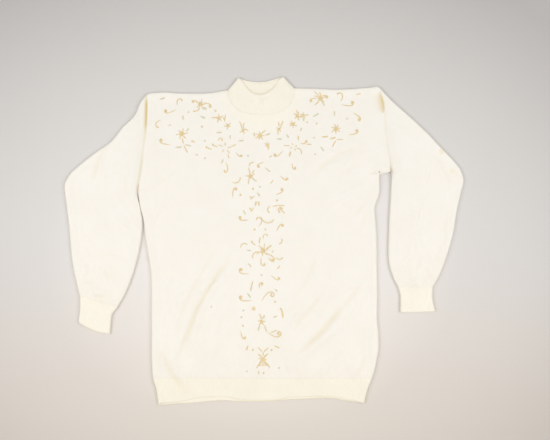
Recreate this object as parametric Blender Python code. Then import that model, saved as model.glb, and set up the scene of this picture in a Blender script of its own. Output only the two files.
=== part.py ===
"""A fine-knitted pullover with a mock-turtle collar, laid flat with its sleeves turned down.

It is seen from above with the hem at the bottom: +X runs to the wearer's left sleeve, +Y to the
collar and +Z up from the table, whose surface is at zero. Sizes and tables are in millimetres,
and each mesh is turned to metres when it is made. Every piece is a cloth wall: an outer and an
inner grid of points, [row, column, xyz], joined round their rims.
"""

import bmesh
import bpy
import numpy as np

MM = 0.001

# The cloth, and how it lies.
WALL = 2.0  # the knit's thickness
SEAM = 0.3  # between pieces that are sewn together
LAYER_GAP = 0.9  # between the layers where they lie flat
FOLD_HEIGHT = 7.6  # a folded side, which stands a little proud
FOLD_SWELL = 13.0  # how far in from a fold the front still rises to it
FLAT_TOP = 2 * WALL + LAYER_GAP
FOLD_MIDDLE = FOLD_HEIGHT / 2

# The ribbing.
RIB_PITCH = 3.8
RIB_RELIEF = 0.8
COLLAR_RIBS = 48

# The body, whose edges turn in at the hem band.
HEM_SEAM_Y = -329.0
NECK_LEFT_X = -93.6  # where the collar meets the shoulders, seen from the front
NECK_RIGHT_X = 79.2

# The rounded cross-section of a fold: how far each point lies in from the folded edge, and
# above or below the middle of the fold, for the outer and the inner face of the cloth.
FOLD_SECTION = (
    # outer_in, outer_rise, inner_in, inner_rise
    (0.0, 0.0, 2.0, 0.0),
    (0.7, 2.0, 2.4, 0.9),
    (2.4, 3.3, 3.2, 1.4),
    (5.5, 3.8, 5.5, 1.8),
)
# The same points where the edge is a cut one, sewn flat to the next piece.
CUT_SECTION = (0.0, 1.6, 3.4, 6.0)
BEHIND_FOLD = (16.0, 30.0)  # where a panel's next points lie, beyond its folds

# How closely the panels' points are set, away from their edges.
FRONT_SPACING = 26.0
BACK_SPACING = 56.0
BACK_HEM_SHARE = 9  # pairs of columns along the lower hem band, which is plain

# Both panels' edges: armholes at the top, then the sides, drawn in above the hem band.
BODY_SIDES = (
    # height_y, right_x, left_x (the wearer's), from the shoulders down
    (372.0, -280.8, 276.0),
    (350.0, -280.8, 279.6),
    (329.0, -280.8, 284.6),
    (307.0, -281.4, 288.6),
    (278.0, -282.2, 290.2),
    (240.0, -286.4, 293.8),
    (211.0, -290.2, 298.2),
    (186.0, -292.6, 302.0),
    (166.0, -295.4, 305.0),
    (160.0, -296.6, 277.2),
    (146.0, -298.8, 276.4),
    (122.4, -302.0, 276.8),
    (108.0, -298.6, 274.4),
    (94.0, -296.6, 269.4),
    (78.0, -294.6, 264.6),
    (50.0, -288.2, 266.8),
    (7.0, -283.2, 269.6),
    (-36.0, -276.4, 270.2),
    (-79.0, -270.2, 270.4),
    (-122.0, -268.8, 271.4),
    (-180.0, -269.2, 270.4),
    (-223.0, -268.8, 274.0),
    (-252.0, -269.0, 274.6),
    (-281.0, -269.0, 270.2),
    (-305.0, -267.8, 265.6),
    (-329.0, -265.6, 258.4),
    (-353.0, -258.4, 248.6),
    (-394.0, -252.2, 238.4),
)
RIGHT_UNDERARM_Y = 122.4
LEFT_UNDERARM_Y = 163.0
CHEST_ROWS = (RIGHT_UNDERARM_Y, 146.0, 160.0, 166.0)  # heights of a panel's rows by the underarms
LEVEL_ROWS_TOP = 250.0  # above this, a panel's rows follow its top edge
PLAIN_COLUMNS = (-246.0, 232.0)  # between these, a panel's columns run straight up

SHOULDERS = (
    # x, y along the shoulder seams
    (-281.0, 350.4),
    (-268.0, 354.6),
    (-237.0, 356.0),
    (-202.0, 353.8),
    (-154.0, 351.6),
    (-118.0, 354.8),
    (NECK_LEFT_X, 358.4),
    (NECK_RIGHT_X, 364.0),
    (118.0, 363.4),
    (140.0, 358.8),
    (170.0, 357.0),
    (205.0, 358.6),
    (226.0, 364.0),
    (254.0, 367.6),
    (270.0, 369.6),
    (276.0, 366.4),
)
NECKLINES = (
    # x, front_y, back_y along the seams of the collar
    (NECK_LEFT_X, 358.4, 358.4),
    (-90.0, 346.0, 354.0),
    (-83.0, 331.0, 349.0),
    (-70.0, 317.6, 343.6),
    (-52.0, 308.2, 339.6),
    (-29.0, 302.8, 337.0),
    (-6.0, 301.2, 336.4),
    (18.0, 303.2, 338.0),
    (40.0, 309.0, 341.4),
    (58.0, 319.4, 346.0),
    (70.0, 333.0, 352.0),
    (76.0, 348.0, 358.0),
    (NECK_RIGHT_X, 364.0, 364.0),
)
HEM_EDGES = (
    # x, front_y, back_y along the free edges of the two hem bands
    (-253.0, -388.8, -393.6),
    (-211.0, -387.1, -391.4),
    (-175.0, -380.2, -387.8),
    (-149.0, -374.8, -385.2),
    (-94.0, -373.7, -382.5),
    (-60.0, -380.0, -384.0),
    (-5.0, -382.8, -384.7),
    (24.0, -381.4, -383.4),
    (72.0, -374.0, -380.4),
    (154.0, -373.7, -378.6),
    (194.0, -380.4, -384.0),
    (240.0, -388.3, -389.4),
)

# The sleeves: the two folded edges of the flattened tube, a row for each section, from the
# underarm and the shoulder to the seam of the cuff.
RIGHT_SLEEVE = (
    # inner_x, inner_y, outer_x, outer_y
    (-302.4, 122.4, -281.2, 350.4),
    (-302.6, 115.0, -295.2, 332.4),
    (-302.2, 108.0, -308.4, 302.0),
    (-301.6, 100.8, -338.0, 272.4),
    (-300.8, 93.0, -366.0, 240.0),
    (-299.2, 84.0, -402.0, 212.6),
    (-297.2, 74.0, -441.0, 182.0),
    (-294.8, 64.0, -468.0, 155.0),
    (-292.4, 54.0, -477.6, 132.0),
    (-292.6, 38.4, -473.0, 91.2),
    (-297.6, 2.4, -466.4, 36.0),
    (-308.9, -50.4, -462.0, -16.8),
    (-322.8, -93.6, -456.0, -64.8),
    (-337.2, -124.8, -447.6, -103.2),
    (-350.4, -158.4, -440.4, -132.0),
)
LEFT_SLEEVE = (
    # inner_x, inner_y, outer_x, outer_y
    (305.6, 163.0, 276.4, 366.4),
    (306.2, 153.6, 297.6, 344.4),
    (305.5, 144.0, 327.6, 316.8),
    (304.6, 132.0, 358.8, 289.2),
    (303.8, 120.0, 391.2, 258.6),
    (303.2, 105.6, 422.6, 225.0),
    (302.4, 91.2, 452.0, 194.4),
    (301.2, 74.4, 471.0, 169.2),
    (300.0, 55.2, 477.6, 144.6),
    (299.3, 31.2, 470.6, 114.6),
    (298.1, 2.4, 461.0, 69.6),
    (297.6, -26.4, 453.2, 21.6),
    (299.4, -52.8, 439.4, -28.8),
    (307.0, -81.6, 422.4, -75.6),
    (320.6, -110.4, 403.9, -110.4),
)
RIGHT_CUFF = (
    # inner_x, inner_y, outer_x, outer_y, bow (how far the free edge bulges)
    (-350.4, -158.4, -440.4, -132.0, 0.0),
    (-364.2, -178.8, -440.6, -158.4, 2.0),
    (-368.6, -221.5, -444.0, -193.2, 7.0),
)
LEFT_CUFF = (
    # inner_x, inner_y, outer_x, outer_y, bow
    (320.6, -110.4, 403.9, -110.4, 0.0),
    (326.6, -134.4, 402.9, -132.6, 0.0),
    (326.2, -170.6, 410.2, -168.2, 1.0),
)

# The collar's free edge, front and back, from the wearer's right fold to the left one.
COLLAR_TOP = (
    # front_x, front_y, back_x, back_y
    (-63.0, 391.0, -63.0, 391.0),
    (-54.0, 385.6, -56.0, 389.0),
    (-46.0, 377.2, -46.0, 386.0),
    (-37.0, 367.4, -34.0, 383.6),
    (-27.0, 358.6, -20.0, 381.8),
    (-17.0, 353.8, -8.0, 381.4),
    (-7.5, 352.8, 4.0, 382.6),
    (3.0, 356.0, 15.0, 385.4),
    (14.4, 362.6, 25.0, 388.4),
    (25.0, 371.0, 35.0, 391.2),
    (35.0, 382.0, 42.0, 392.8),
    (47.0, 393.6, 47.0, 393.6),
)

# The largest creases, as ridges of cloth that fade out at both ends. The bend is how far the
# ridge's middle lies to the left of the line from its first end to its second.
FRONT_CREASES = (
    # from_x, from_y, to_x, to_y, bend, half_width, height
    (-70.0, -20.0, -222.0, -290.0, -14.0, 22.0, 2.9),
    (-120.0, -10.0, -212.0, -215.0, -10.0, 15.0, 1.8),
    (-75.0, -150.0, -130.0, -240.0, 6.0, 16.0, 1.5),
    (-240.0, -255.0, -180.0, -350.0, 8.0, 15.0, 2.2),
    (235.0, -105.0, 60.0, -290.0, 10.0, 20.0, 2.9),
    (130.0, -30.0, 64.0, -150.0, -8.0, 16.0, 1.8),
    (160.0, -105.0, 55.0, -245.0, -6.0, 15.0, 2.0),
    (236.0, -300.0, 180.0, -352.0, 4.0, 14.0, 2.0),
    (262.0, 238.0, 108.0, 146.0, 6.0, 17.0, 2.4),
    (272.0, 110.0, 200.0, 60.0, 4.0, 15.0, 2.2),
    (-225.0, 140.0, -268.0, 55.0, 4.0, 16.0, 1.6),
)
RIGHT_SLEEVE_CREASES = (
    # from_x, from_y, to_x, to_y, bend, half_width, height
    (-350.0, 245.0, -424.0, 112.0, -8.0, 18.0, 2.6),
    (-334.0, 185.0, -334.0, 80.0, 6.0, 16.0, 2.2),
    (-445.0, -14.0, -350.0, -42.0, 4.0, 16.0, 2.4),
    (-440.0, -74.0, -370.0, -104.0, -4.0, 13.0, 2.2),
)
LEFT_SLEEVE_CREASES = (
    # from_x, from_y, to_x, to_y, bend, half_width, height
    (395.0, 245.0, 460.0, 122.0, 8.0, 17.0, 2.6),
    (438.0, 140.0, 392.0, -74.0, 12.0, 18.0, 2.4),
    (335.0, 190.0, 330.0, 60.0, -8.0, 18.0, 1.8),
    (340.0, -66.0, 408.0, -88.0, -4.0, 13.0, 2.0),
)

COLLECTION = "pullover"
KNIT_COLOUR = (0.93, 0.89, 0.80)
RIB_COLOUR = (0.90, 0.85, 0.74)

OUTER_IN, OUTER_RISE, INNER_IN, INNER_RISE = np.array(FOLD_SECTION).T
CUT_IN = np.array(CUT_SECTION)
EDGE_POINTS = len(CUT_IN)


def clear_scene():
    """Removes the objects that Blender starts with."""
    for item in list(bpy.data.objects):
        bpy.data.objects.remove(item)


def finish(name, colour):
    """A matt cloth."""
    cloth = bpy.data.materials.new(name)
    cloth.use_nodes = True
    shader = cloth.node_tree.nodes["Principled BSDF"]
    shader.inputs["Base Color"].default_value = (*colour, 1)
    shader.inputs["Roughness"].default_value = 0.9
    shader.inputs["Metallic"].default_value = 0
    return cloth


# The wall of cloth that every piece is made of.


def grid_faces(index):
    """The quads between the rows and columns of a grid of point numbers."""
    corners = (index[:-1, :-1], index[:-1, 1:], index[1:, 1:], index[1:, :-1])
    return np.stack(corners, axis=-1).reshape(-1, 4)


def cloth_wall(name, outer, inner, material, tube=False):
    """A closed wall between two grids of points; a tube's last column joins its first."""
    rows, columns = outer.shape[:2]
    face = np.arange(rows * columns).reshape(rows, columns)
    if tube:
        face = np.concatenate([face, face[:, :1]], axis=1)
    back = face + rows * columns
    rims = [(face[0], back[0]), (face[-1], back[-1])]
    if not tube:
        rims += [(face[:, 0], back[:, 0]), (face[:, -1], back[:, -1])]
    quads = [grid_faces(face), grid_faces(back)]
    quads += [grid_faces(np.stack(rim)) for rim in rims]
    points = np.concatenate([outer.reshape(-1, 3), inner.reshape(-1, 3)]) * MM
    mesh = bpy.data.meshes.new(name)
    mesh.from_pydata(points.tolist(), [], np.concatenate(quads).tolist())
    build = bmesh.new()
    build.from_mesh(mesh)
    bmesh.ops.recalc_face_normals(build, faces=build.faces)
    build.to_mesh(mesh)
    build.free()
    mesh.shade_smooth()
    mesh.materials.append(material)
    piece = bpy.data.objects.new(name, mesh)
    bpy.data.collections[COLLECTION].objects.link(piece)


def smooth_step(value, start, end):
    """Rises smoothly from 0 at start to 1 at end."""
    t = np.clip((value - start) / (end - start), 0, 1)
    return t * t * (3 - 2 * t)


def creases(x, y, table):
    """How far the creases raise the cloth at a place: the highest of them, not their sum."""
    height = np.zeros(np.shape(x))
    for from_x, from_y, to_x, to_y, bend, half_width, peak in table:
        run_x, run_y = to_x - from_x, to_y - from_y
        length = np.hypot(run_x, run_y)
        along = ((x - from_x) * run_x + (y - from_y) * run_y) / length**2
        aside = ((y - from_y) * run_x - (x - from_x) * run_y) / length
        aside = aside - bend * 4 * along * (1 - along)
        fade = smooth_step(along, -0.05, 0.3) * smooth_step(along, 1.05, 0.65)
        height = np.maximum(height, peak * fade * np.exp(-((aside / half_width) ** 2)))
    return height


def swell(distance):
    """How far the upper layer still rises above its flat level, this far in from a fold."""
    beyond = np.maximum(distance - OUTER_IN[-1], 0)
    return (FOLD_HEIGHT - FLAT_TOP) * np.exp(-((beyond / FOLD_SWELL) ** 2))


def upper_level(x, y, table, *swells):
    """The height of the upper layer: the flat level, raised by the highest crease or swell."""
    return FLAT_TOP + np.maximum.reduce([creases(x, y, table), *swells])


def insets(curl):
    """How far in the points near an edge lie, outer and inner: curl is 1 at a fold, 0 at a cut."""
    curl = np.asarray(curl, float)[..., None]
    outer = CUT_IN + curl * (OUTER_IN - CUT_IN)
    return outer, outer + curl * (INNER_IN - OUTER_IN)


def round_edge(z, rise, middle, curl):
    """Bends the first points of each row to the middle height of a fold, in place."""
    edge = z[..., :EDGE_POINTS]
    level = edge[..., -1:].copy()
    rounded = middle + rise / rise[-1] * (level - middle)
    edge += np.asarray(curl, float)[..., None] * (rounded - edge)


def round_both(outer_z, inner_z, middle, curl):
    """The same for the outer and the inner face of a layer."""
    round_edge(outer_z, OUTER_RISE, middle, curl)
    round_edge(inner_z, INNER_RISE, middle, curl)


# The front and back panels.


def side_x(y):
    """The wearer's right and left edge of the body at a height."""
    heights, right, left = np.array(BODY_SIDES[::-1]).T
    return np.interp(y, heights, right), np.interp(y, heights, left)


def panel(name, material, upper, spacing):
    """A panel from the hem seam to the shoulders and the neckline; it gives its outer grid.

    The columns near a side keep their distance from it, and the rows near the top keep theirs
    from the shoulder seam, so that the folded edges are evenly round.
    """
    neck = np.array(NECKLINES)[:: 1 if upper else 2]
    neck_x, neck_y = neck[:, 0], neck[:, 1 if upper else 2]
    shoulder_x, shoulder_y = np.array(SHOULDERS).T

    # The columns at the top edge, and the height where each of them ends.
    right_of_neck = np.arange(NECK_LEFT_X - spacing, PLAIN_COLUMNS[0], -spacing)[::-1]
    left_of_neck = np.arange(NECK_RIGHT_X + spacing, PLAIN_COLUMNS[1], spacing)
    middle_x = np.concatenate([right_of_neck, neck_x, left_of_neck])
    edge_in = np.append(CUT_IN, BEHIND_FOLD[0])
    top_x = [shoulder_x[0] + edge_in, middle_x, (shoulder_x[-1] - edge_in)[::-1]]
    top_x = np.concatenate(top_x)
    on_shoulder = (top_x <= NECK_LEFT_X) | (top_x >= NECK_RIGHT_X)
    along_neck = np.interp(top_x, neck_x, neck_y)
    top = np.where(on_shoulder, np.interp(top_x, shoulder_x, shoulder_y), along_neck)

    # The rows: level ones to the chest, one between, and those that follow the top edge.
    level = np.concatenate([
        np.arange(HEM_SEAM_Y, CHEST_ROWS[0] - 0.7 * spacing, spacing),
        CHEST_ROWS,
        np.arange(CHEST_ROWS[-1] + spacing, LEVEL_ROWS_TOP, spacing),
    ])
    level[0] += SEAM / 2
    top_curl = ((top_x < NECK_LEFT_X) | (top_x > NECK_RIGHT_X)).astype(float)
    outer_in, inner_in = insets(top_curl)
    soft_in = np.broadcast_to(BEHIND_FOLD, (len(top), 2))
    outer_top = (top[:, None] - np.concatenate([outer_in, soft_in], axis=1)).T[::-1]
    level = np.broadcast_to(level[:, None], (len(level), len(top)))
    between = (level[-1:] + outer_top[:1]) / 2
    y = np.concatenate([level, between, outer_top])
    inner_y = y.copy()
    inner_y[-EDGE_POINTS:] -= (inner_in - outer_in).T[::-1]

    # Across: the side columns follow the sides, which are folded only below the underarms.
    right, left = side_x(y[:, 0]), side_x(y[:, -1])
    right, left = right[0][:, None], left[1][:, None]
    right_curl = (y[:, 0] < RIGHT_UNDERARM_Y).astype(float)
    left_curl = (y[:, -1] < LEFT_UNDERARM_Y).astype(float)
    x = np.broadcast_to(top_x, y.shape).copy()
    inner_x = x.copy()
    for grid, face in ((x, 0), (inner_x, 1)):
        grid[:, :EDGE_POINTS] = right + insets(right_curl)[face]
        grid[:, EDGE_POINTS] = right[:, 0] + edge_in[-1]
        grid[:, -EDGE_POINTS:] = (left - insets(left_curl)[face])[:, ::-1]
        grid[:, -EDGE_POINTS - 1] = left[:, 0] - edge_in[-1]

    # Up: flat, then the creases and the rise to each fold, then the folds' own round.
    outer_z = np.zeros_like(x)
    if upper:
        from_right = right_curl[:, None] * swell(x - right)
        from_left = left_curl[:, None] * swell(left - x)
        from_top = top_curl * swell(top - y)
        outer_z = upper_level(x, y, FRONT_CREASES, from_right, from_left, from_top)
    inner_z = outer_z + (-WALL if upper else WALL)
    middle = FOLD_MIDDLE + (SEAM / 2 if upper else -SEAM / 2)
    round_both(outer_z, inner_z, middle, right_curl)
    round_both(outer_z[:, ::-1], inner_z[:, ::-1], middle, left_curl)
    round_both(outer_z.T[:, ::-1], inner_z.T[:, ::-1], middle, top_curl)

    outer = np.stack([x, y, outer_z], axis=-1)
    cloth_wall(name, outer, np.stack([inner_x, inner_y, inner_z], axis=-1), material)
    return outer


def hem_band(name, material, upper, ribs):
    """A hem band from the hem seam to its free edge; the upper one has its ribs raised."""
    table = np.array(HEM_EDGES)
    edge_x, edge_y = table[:, 0], table[:, 1 if upper else 2]
    seam_y = HEM_SEAM_Y - SEAM / 2
    right = side_x([edge_y[0], seam_y])[0]
    left = side_x([edge_y[-1], seam_y])[1]
    rows = []
    for near_in in (OUTER_IN, INNER_IN):
        for row in range(2):
            first, last = right[row] + OUTER_IN[-1], left[row] - OUTER_IN[-1]
            rib_x = np.linspace(first, last, 2 * ribs + 1)[1:-1]
            rows.append(np.concatenate([right[row] + near_in, rib_x, (left[row] - near_in)[::-1]]))
    x, inner_x = np.array(rows[:2]), np.array(rows[2:])
    y = np.stack([np.interp(x[0], edge_x, edge_y), np.full(x.shape[1], seam_y)])
    outer_z = np.zeros_like(x)
    if upper:
        from_sides = swell(x - right[:, None]), swell(left[:, None] - x)
        outer_z = upper_level(x, y, FRONT_CREASES, *from_sides)
    inner_z = outer_z + (-WALL if upper else WALL)
    if upper:
        outer_z[:, EDGE_POINTS:-EDGE_POINTS:2] -= RIB_RELIEF
    middle = FOLD_MIDDLE + (SEAM / 2 if upper else -SEAM / 2)
    for near in (slice(None), slice(None, None, -1)):
        round_both(outer_z[:, near], inner_z[:, near], middle, np.ones(2))
    outer = np.stack([x, y, outer_z], axis=-1)
    cloth_wall(name, outer, np.stack([inner_x, y, inner_z], axis=-1), material)


# The sleeves, cuffs and collar: flattened tubes.


def along(line, distance):
    """Points at distances along a line of points."""
    steps = np.hypot(*np.diff(line, axis=0).T)
    length = np.concatenate([[0], np.cumsum(steps)])
    return np.stack([np.interp(distance, length, line[:, i]) for i in range(2)], axis=-1)


def line_length(line):
    """The length of a line of points."""
    return np.hypot(*np.diff(line, axis=0).T).sum()


def shares(line):
    """Where a line's own points lie, as shares of the stretch between its two folds."""
    steps = np.hypot(*np.diff(line, axis=0).T)
    length = np.cumsum(steps)[:-1]
    width = steps.sum()
    clear = (length > 1.6 * OUTER_IN[-1]) & (length < width - 1.6 * OUTER_IN[-1])
    return (length[clear] - OUTER_IN[-1]) / (width - 2 * OUTER_IN[-1])


def even_shares(count):
    """Evenly spaced shares of the stretch between two folds."""
    return np.linspace(0, 1, count + 2)[1:-1]


def moved_aside(line, distance):
    """The line again, this far to its left."""
    run = np.gradient(line, axis=0)
    run /= np.hypot(*run.T)[:, None]
    return line + distance * np.stack([-run[:, 1], run[:, 0]], axis=-1)


def layer(line, middle):
    """One layer of a section, fold to fold: its outer and inner places, and their reach from a fold."""
    width = line_length(line)
    stretch = OUTER_IN[-1] + middle * (width - 2 * OUTER_IN[-1])
    outer = np.concatenate([OUTER_IN, stretch, (width - OUTER_IN)[::-1]])
    inner = np.concatenate([INNER_IN, stretch, (width - INNER_IN)[::-1]])
    return along(line, outer), along(line, inner), np.minimum(outer, width - outer)


def flat_tube(name, material, sections, middles, table, ribbed=False):
    """A flattened tube through sections, each a line of points for its upper and lower layer.

    The middles are where the points between the folds lie, in the upper and the lower layer.
    """
    outer_rings, inner_rings = [], []
    for upper_line, lower_line in sections:
        outer, inner, reach = layer(upper_line, middles[0])
        outer_z = upper_level(outer[:, 0], outer[:, 1], table, swell(reach))
        inner_z = outer_z - WALL
        if ribbed:
            outer_z[EDGE_POINTS:-EDGE_POINTS:2] -= RIB_RELIEF
        low_outer, low_inner, _ = layer(lower_line, middles[1])
        low_z = np.zeros(len(low_outer))
        low_inner_z = low_z + WALL
        for near in (slice(None), slice(None, None, -1)):
            round_both(outer_z[near], inner_z[near], FOLD_MIDDLE, 1.0)
            round_both(low_z[near], low_inner_z[near], FOLD_MIDDLE, 1.0)
        upper = np.column_stack([outer, outer_z]), np.column_stack([inner, inner_z])
        lower = np.column_stack([low_outer, low_z]), np.column_stack([low_inner, low_inner_z])
        outer_rings.append(np.concatenate([upper[0], lower[0][-2:0:-1]]))
        inner_rings.append(np.concatenate([upper[1], lower[1][-2:0:-1]]))
    cloth_wall(name, np.array(outer_rings), np.array(inner_rings), material, tube=True)


def armhole(grid, column, underarm):
    """A panel's armhole seam as a line from the underarm to the shoulder."""
    line = grid[:, column, :2]
    return np.concatenate([[underarm], line[line[:, 1] > underarm[1] + 1]])


def sleeve(name, material, table, seams, table_creases):
    """A sleeve from its armhole seam, whose curve fades out over the first sections."""
    sections = []
    for row, (inner_x, inner_y, outer_x, outer_y) in enumerate(table):
        fade = max(0.0, 1 - row / 4)
        first, last = np.array([inner_x, inner_y]), np.array([outer_x, outer_y])
        section = []
        for seam in seams:
            share = np.linalg.norm(seam - seam[0], axis=1)[:, None]
            share /= share[-1]
            bow = seam - (seam[0] + share * (seam[-1] - seam[0]))
            section.append(first + share * (last - first) + fade * bow)
        sections.append(section)
    sections[0] = seams
    flat_tube(name, material, sections, [shares(seam) for seam in seams], table_creases)


def cuff(name, material, table, table_creases):
    """A ribbed cuff from its seam to its free edge, whose ribs run along the arm."""
    table = np.array(table)
    arm = (table[-1, :2] + table[-1, 2:4] - table[0, :2] - table[0, 2:4]) / 2
    downward = arm / np.linalg.norm(arm)
    sections = []
    for row, (inner_x, inner_y, outer_x, outer_y, bow) in enumerate(table):
        share = np.linspace(0, 1, 21)[:, None]
        first, last = np.array([inner_x, inner_y]), np.array([outer_x, outer_y])
        bulge = 4 * bow * share * (1 - share) + (SEAM if row == 0 else 0)
        line = first + share * (last - first) + bulge * downward
        sections.append((line, line))
    ribs = round(line_length(sections[0][0]) / RIB_PITCH)
    middles = even_shares(2 * ribs - 1), even_shares(2)
    flat_tube(name, material, sections, middles, table_creases, ribbed=True)


def collar(name, material, front_seam, back_seam):
    """The ribbed collar from the neckline to its free edge, which dips in front."""
    edge = np.array(COLLAR_TOP)
    share = np.linspace(0, 1, 49)
    feet_and_edges = []
    for line in (front_seam, edge[:, :2], back_seam, edge[:, 2:]):
        feet_and_edges.append(along(line, share * line_length(line)))
    front_foot, front_edge, back_foot, back_edge = feet_and_edges
    sections = [(front_seam, back_seam)]
    for rise in (0.5, 1.0):
        front = front_foot + rise * (front_edge - front_foot)
        back = back_foot + rise * (back_edge - back_foot)
        sections.append((front, back))
    middles = even_shares(2 * COLLAR_RIBS - 1), shares(back_seam)
    flat_tube(name, material, sections, middles, (), ribbed=True)


def neck_seam(grid, gap):
    """The line where the collar meets a panel, just clear of the panel's top edge."""
    line = grid[-1, :, :2]
    line = line[(line[:, 0] >= NECK_LEFT_X) & (line[:, 0] <= NECK_RIGHT_X)]
    return moved_aside(line, gap)


def build_pullover():
    """Makes all nine pieces."""
    pullover = bpy.data.collections.new(COLLECTION)
    bpy.context.scene.collection.children.link(pullover)
    knit = finish("fine_knit", KNIT_COLOUR)
    rib = finish("rib_knit", RIB_COLOUR)

    front = panel("front_panel", knit, True, FRONT_SPACING)
    back = panel("back_panel", knit, False, BACK_SPACING)
    hem_right, hem_left = side_x(HEM_SEAM_Y)
    hem_ribs = round((hem_left - hem_right) / RIB_PITCH)
    hem_band("front_hem_rib", rib, True, hem_ribs)
    hem_band("back_hem_rib", rib, False, BACK_HEM_SHARE)

    right_underarm = np.array(RIGHT_SLEEVE[0][:2])
    left_underarm = np.array(LEFT_SLEEVE[0][:2])
    right_seams = [armhole(grid, 0, right_underarm) - (SEAM, 0) for grid in (front, back)]
    left_seams = [armhole(grid, -1, left_underarm) + (SEAM, 0) for grid in (front, back)]
    sleeve("right_sleeve", knit, RIGHT_SLEEVE, right_seams, RIGHT_SLEEVE_CREASES)
    sleeve("left_sleeve", knit, LEFT_SLEEVE, left_seams, LEFT_SLEEVE_CREASES)
    cuff("right_cuff", rib, RIGHT_CUFF, RIGHT_SLEEVE_CREASES)
    cuff("left_cuff", rib, LEFT_CUFF, LEFT_SLEEVE_CREASES)
    collar("collar", rib, neck_seam(front, SEAM), neck_seam(back, SEAM))


clear_scene()
build_pullover()
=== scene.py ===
import bpy
import numpy as np
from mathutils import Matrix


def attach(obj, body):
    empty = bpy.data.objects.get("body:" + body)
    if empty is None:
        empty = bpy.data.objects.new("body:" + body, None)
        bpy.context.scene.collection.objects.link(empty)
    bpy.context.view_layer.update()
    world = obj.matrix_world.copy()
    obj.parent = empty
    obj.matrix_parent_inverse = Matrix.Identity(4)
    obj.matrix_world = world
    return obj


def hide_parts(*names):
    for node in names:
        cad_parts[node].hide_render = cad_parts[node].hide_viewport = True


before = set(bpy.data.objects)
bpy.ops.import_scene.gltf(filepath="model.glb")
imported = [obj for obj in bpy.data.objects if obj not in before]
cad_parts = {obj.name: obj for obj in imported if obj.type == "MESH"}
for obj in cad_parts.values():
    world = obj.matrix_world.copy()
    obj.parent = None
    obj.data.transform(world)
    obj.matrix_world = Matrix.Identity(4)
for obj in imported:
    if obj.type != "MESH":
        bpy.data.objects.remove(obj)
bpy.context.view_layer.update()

# The front panel. Fine-gauge plain knit in a cream wool and acrylic yarn, folded at the shoulders
# and down the sides. It lies on the back panel and carries the embroidery. Its creases come from
# being folded and laid out by hand, so they run from the hips towards the middle.

MM = 0.001
CLOTH = 1.7  # the knit's thickness in millimetres, as all sizes here
SEAM = 0.12  # between sewn edges, which the linking draws closer than the solids are
FLAT_TOP = 4.9  # the upper layer's height over the table
FOLD_HEIGHT = 7.6  # a folded edge's height
FOLD_MIDDLE = FOLD_HEIGHT / 2
FOLD_ROUND = 4.6  # how far in a fold's own round reaches
FOLD_SWELL = 13.0  # how far in the upper layer still rises to the fold
FOLD_TURNS = 6  # points round a quarter of a fold
FOLD_PLACES = FOLD_ROUND * (1 - np.cos(np.linspace(0, np.pi / 2, FOLD_TURNS)))
FRONT_GRID = 3.4  # between the points of the front
SEAM_DIP = 0.25  # how deep a sewn seam draws the knit in
SEAM_WIDTH = 1.7  # and how far to each side of it
HEM_SEAM_Y = -329.0
NECK_LEFT_X = -85.4  # the collar's feet, at the picture's left and right
NECK_RIGHT_X = 71.8
RIGHT_UNDERARM_Y = 122.4  # the wearer's right, as all that is named right or left from here on
LEFT_UNDERARM_Y = 163.0
RIGHT_UNDERARM_BLEND = 4.0  # over which an armhole's seam turns into a side's fold
LEFT_UNDERARM_BLEND = 3.0
FOOT_BLEND = (-1.0, 5.0)  # the same from the neckline's seam to the shoulder's fold

BODY_SIDES = np.array([
    # height_y, right_x, left_x, down from the shoulders
    (372.0, -280.8, 276.0),
    (350.0, -280.8, 279.6),
    (329.0, -280.8, 284.6),
    (307.0, -281.4, 288.6),
    (278.0, -282.2, 290.2),
    (240.0, -286.4, 293.8),
    (211.0, -290.2, 298.2),
    (186.0, -292.6, 302.0),
    (166.0, -295.4, 305.0),
    (160.0, -296.6, 277.2),
    (146.0, -298.8, 276.4),
    (122.4, -302.0, 276.8),
    (108.0, -300.8, 274.4),
    (94.0, -298.6, 269.4),
    (78.0, -295.6, 264.6),
    (50.0, -288.2, 266.8),
    (7.0, -283.2, 269.6),
    (-36.0, -276.4, 270.2),
    (-79.0, -270.2, 270.4),
    (-122.0, -268.8, 271.4),
    (-180.0, -269.2, 270.4),
    (-223.0, -268.8, 274.0),
    (-252.0, -269.0, 274.6),
    (-281.0, -269.0, 270.2),
    (-305.0, -267.8, 265.6),
    (-329.0, -265.6, 258.4),
    (-353.0, -258.4, 248.6),
    (-394.0, -252.2, 238.4),
])
RIGHT_SHOULDER = np.array([
    # x, y along the right shoulder's fold, in to the collar
    (-281.0, 351.4),
    (-268.0, 354.8),
    (-237.0, 356.6),
    (-202.0, 354.4),
    (-154.0, 353.8),
    (-118.0, 356.4),
    (-99.0, 359.8),
])
LEFT_SHOULDER = np.array([
    # x, y along the left one, out from the collar
    (86.0, 366.2),
    (118.0, 365.6),
    (140.0, 364.8),
    (170.0, 363.2),
    (205.0, 364.6),
    (226.0, 366.0),
    (254.0, 368.2),
    (270.0, 370.4),
    (276.0, 367.4),
])
NECKLINES = np.array([
    # x, front_y, back_y along the seams of the collar
    (NECK_LEFT_X, 361.4, 361.4),
    (-84.0, 347.0, 356.0),
    (-79.0, 332.0, 350.0),
    (-68.0, 318.6, 344.4),
    (-52.0, 309.6, 340.0),
    (-29.0, 304.4, 337.4),
    (-6.0, 303.0, 336.8),
    (17.0, 304.8, 338.2),
    (38.0, 310.4, 341.8),
    (55.0, 320.6, 346.6),
    (66.0, 334.0, 352.6),
    (70.6, 349.0, 358.4),
    (NECK_RIGHT_X, 366.0, 366.0),
])

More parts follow.
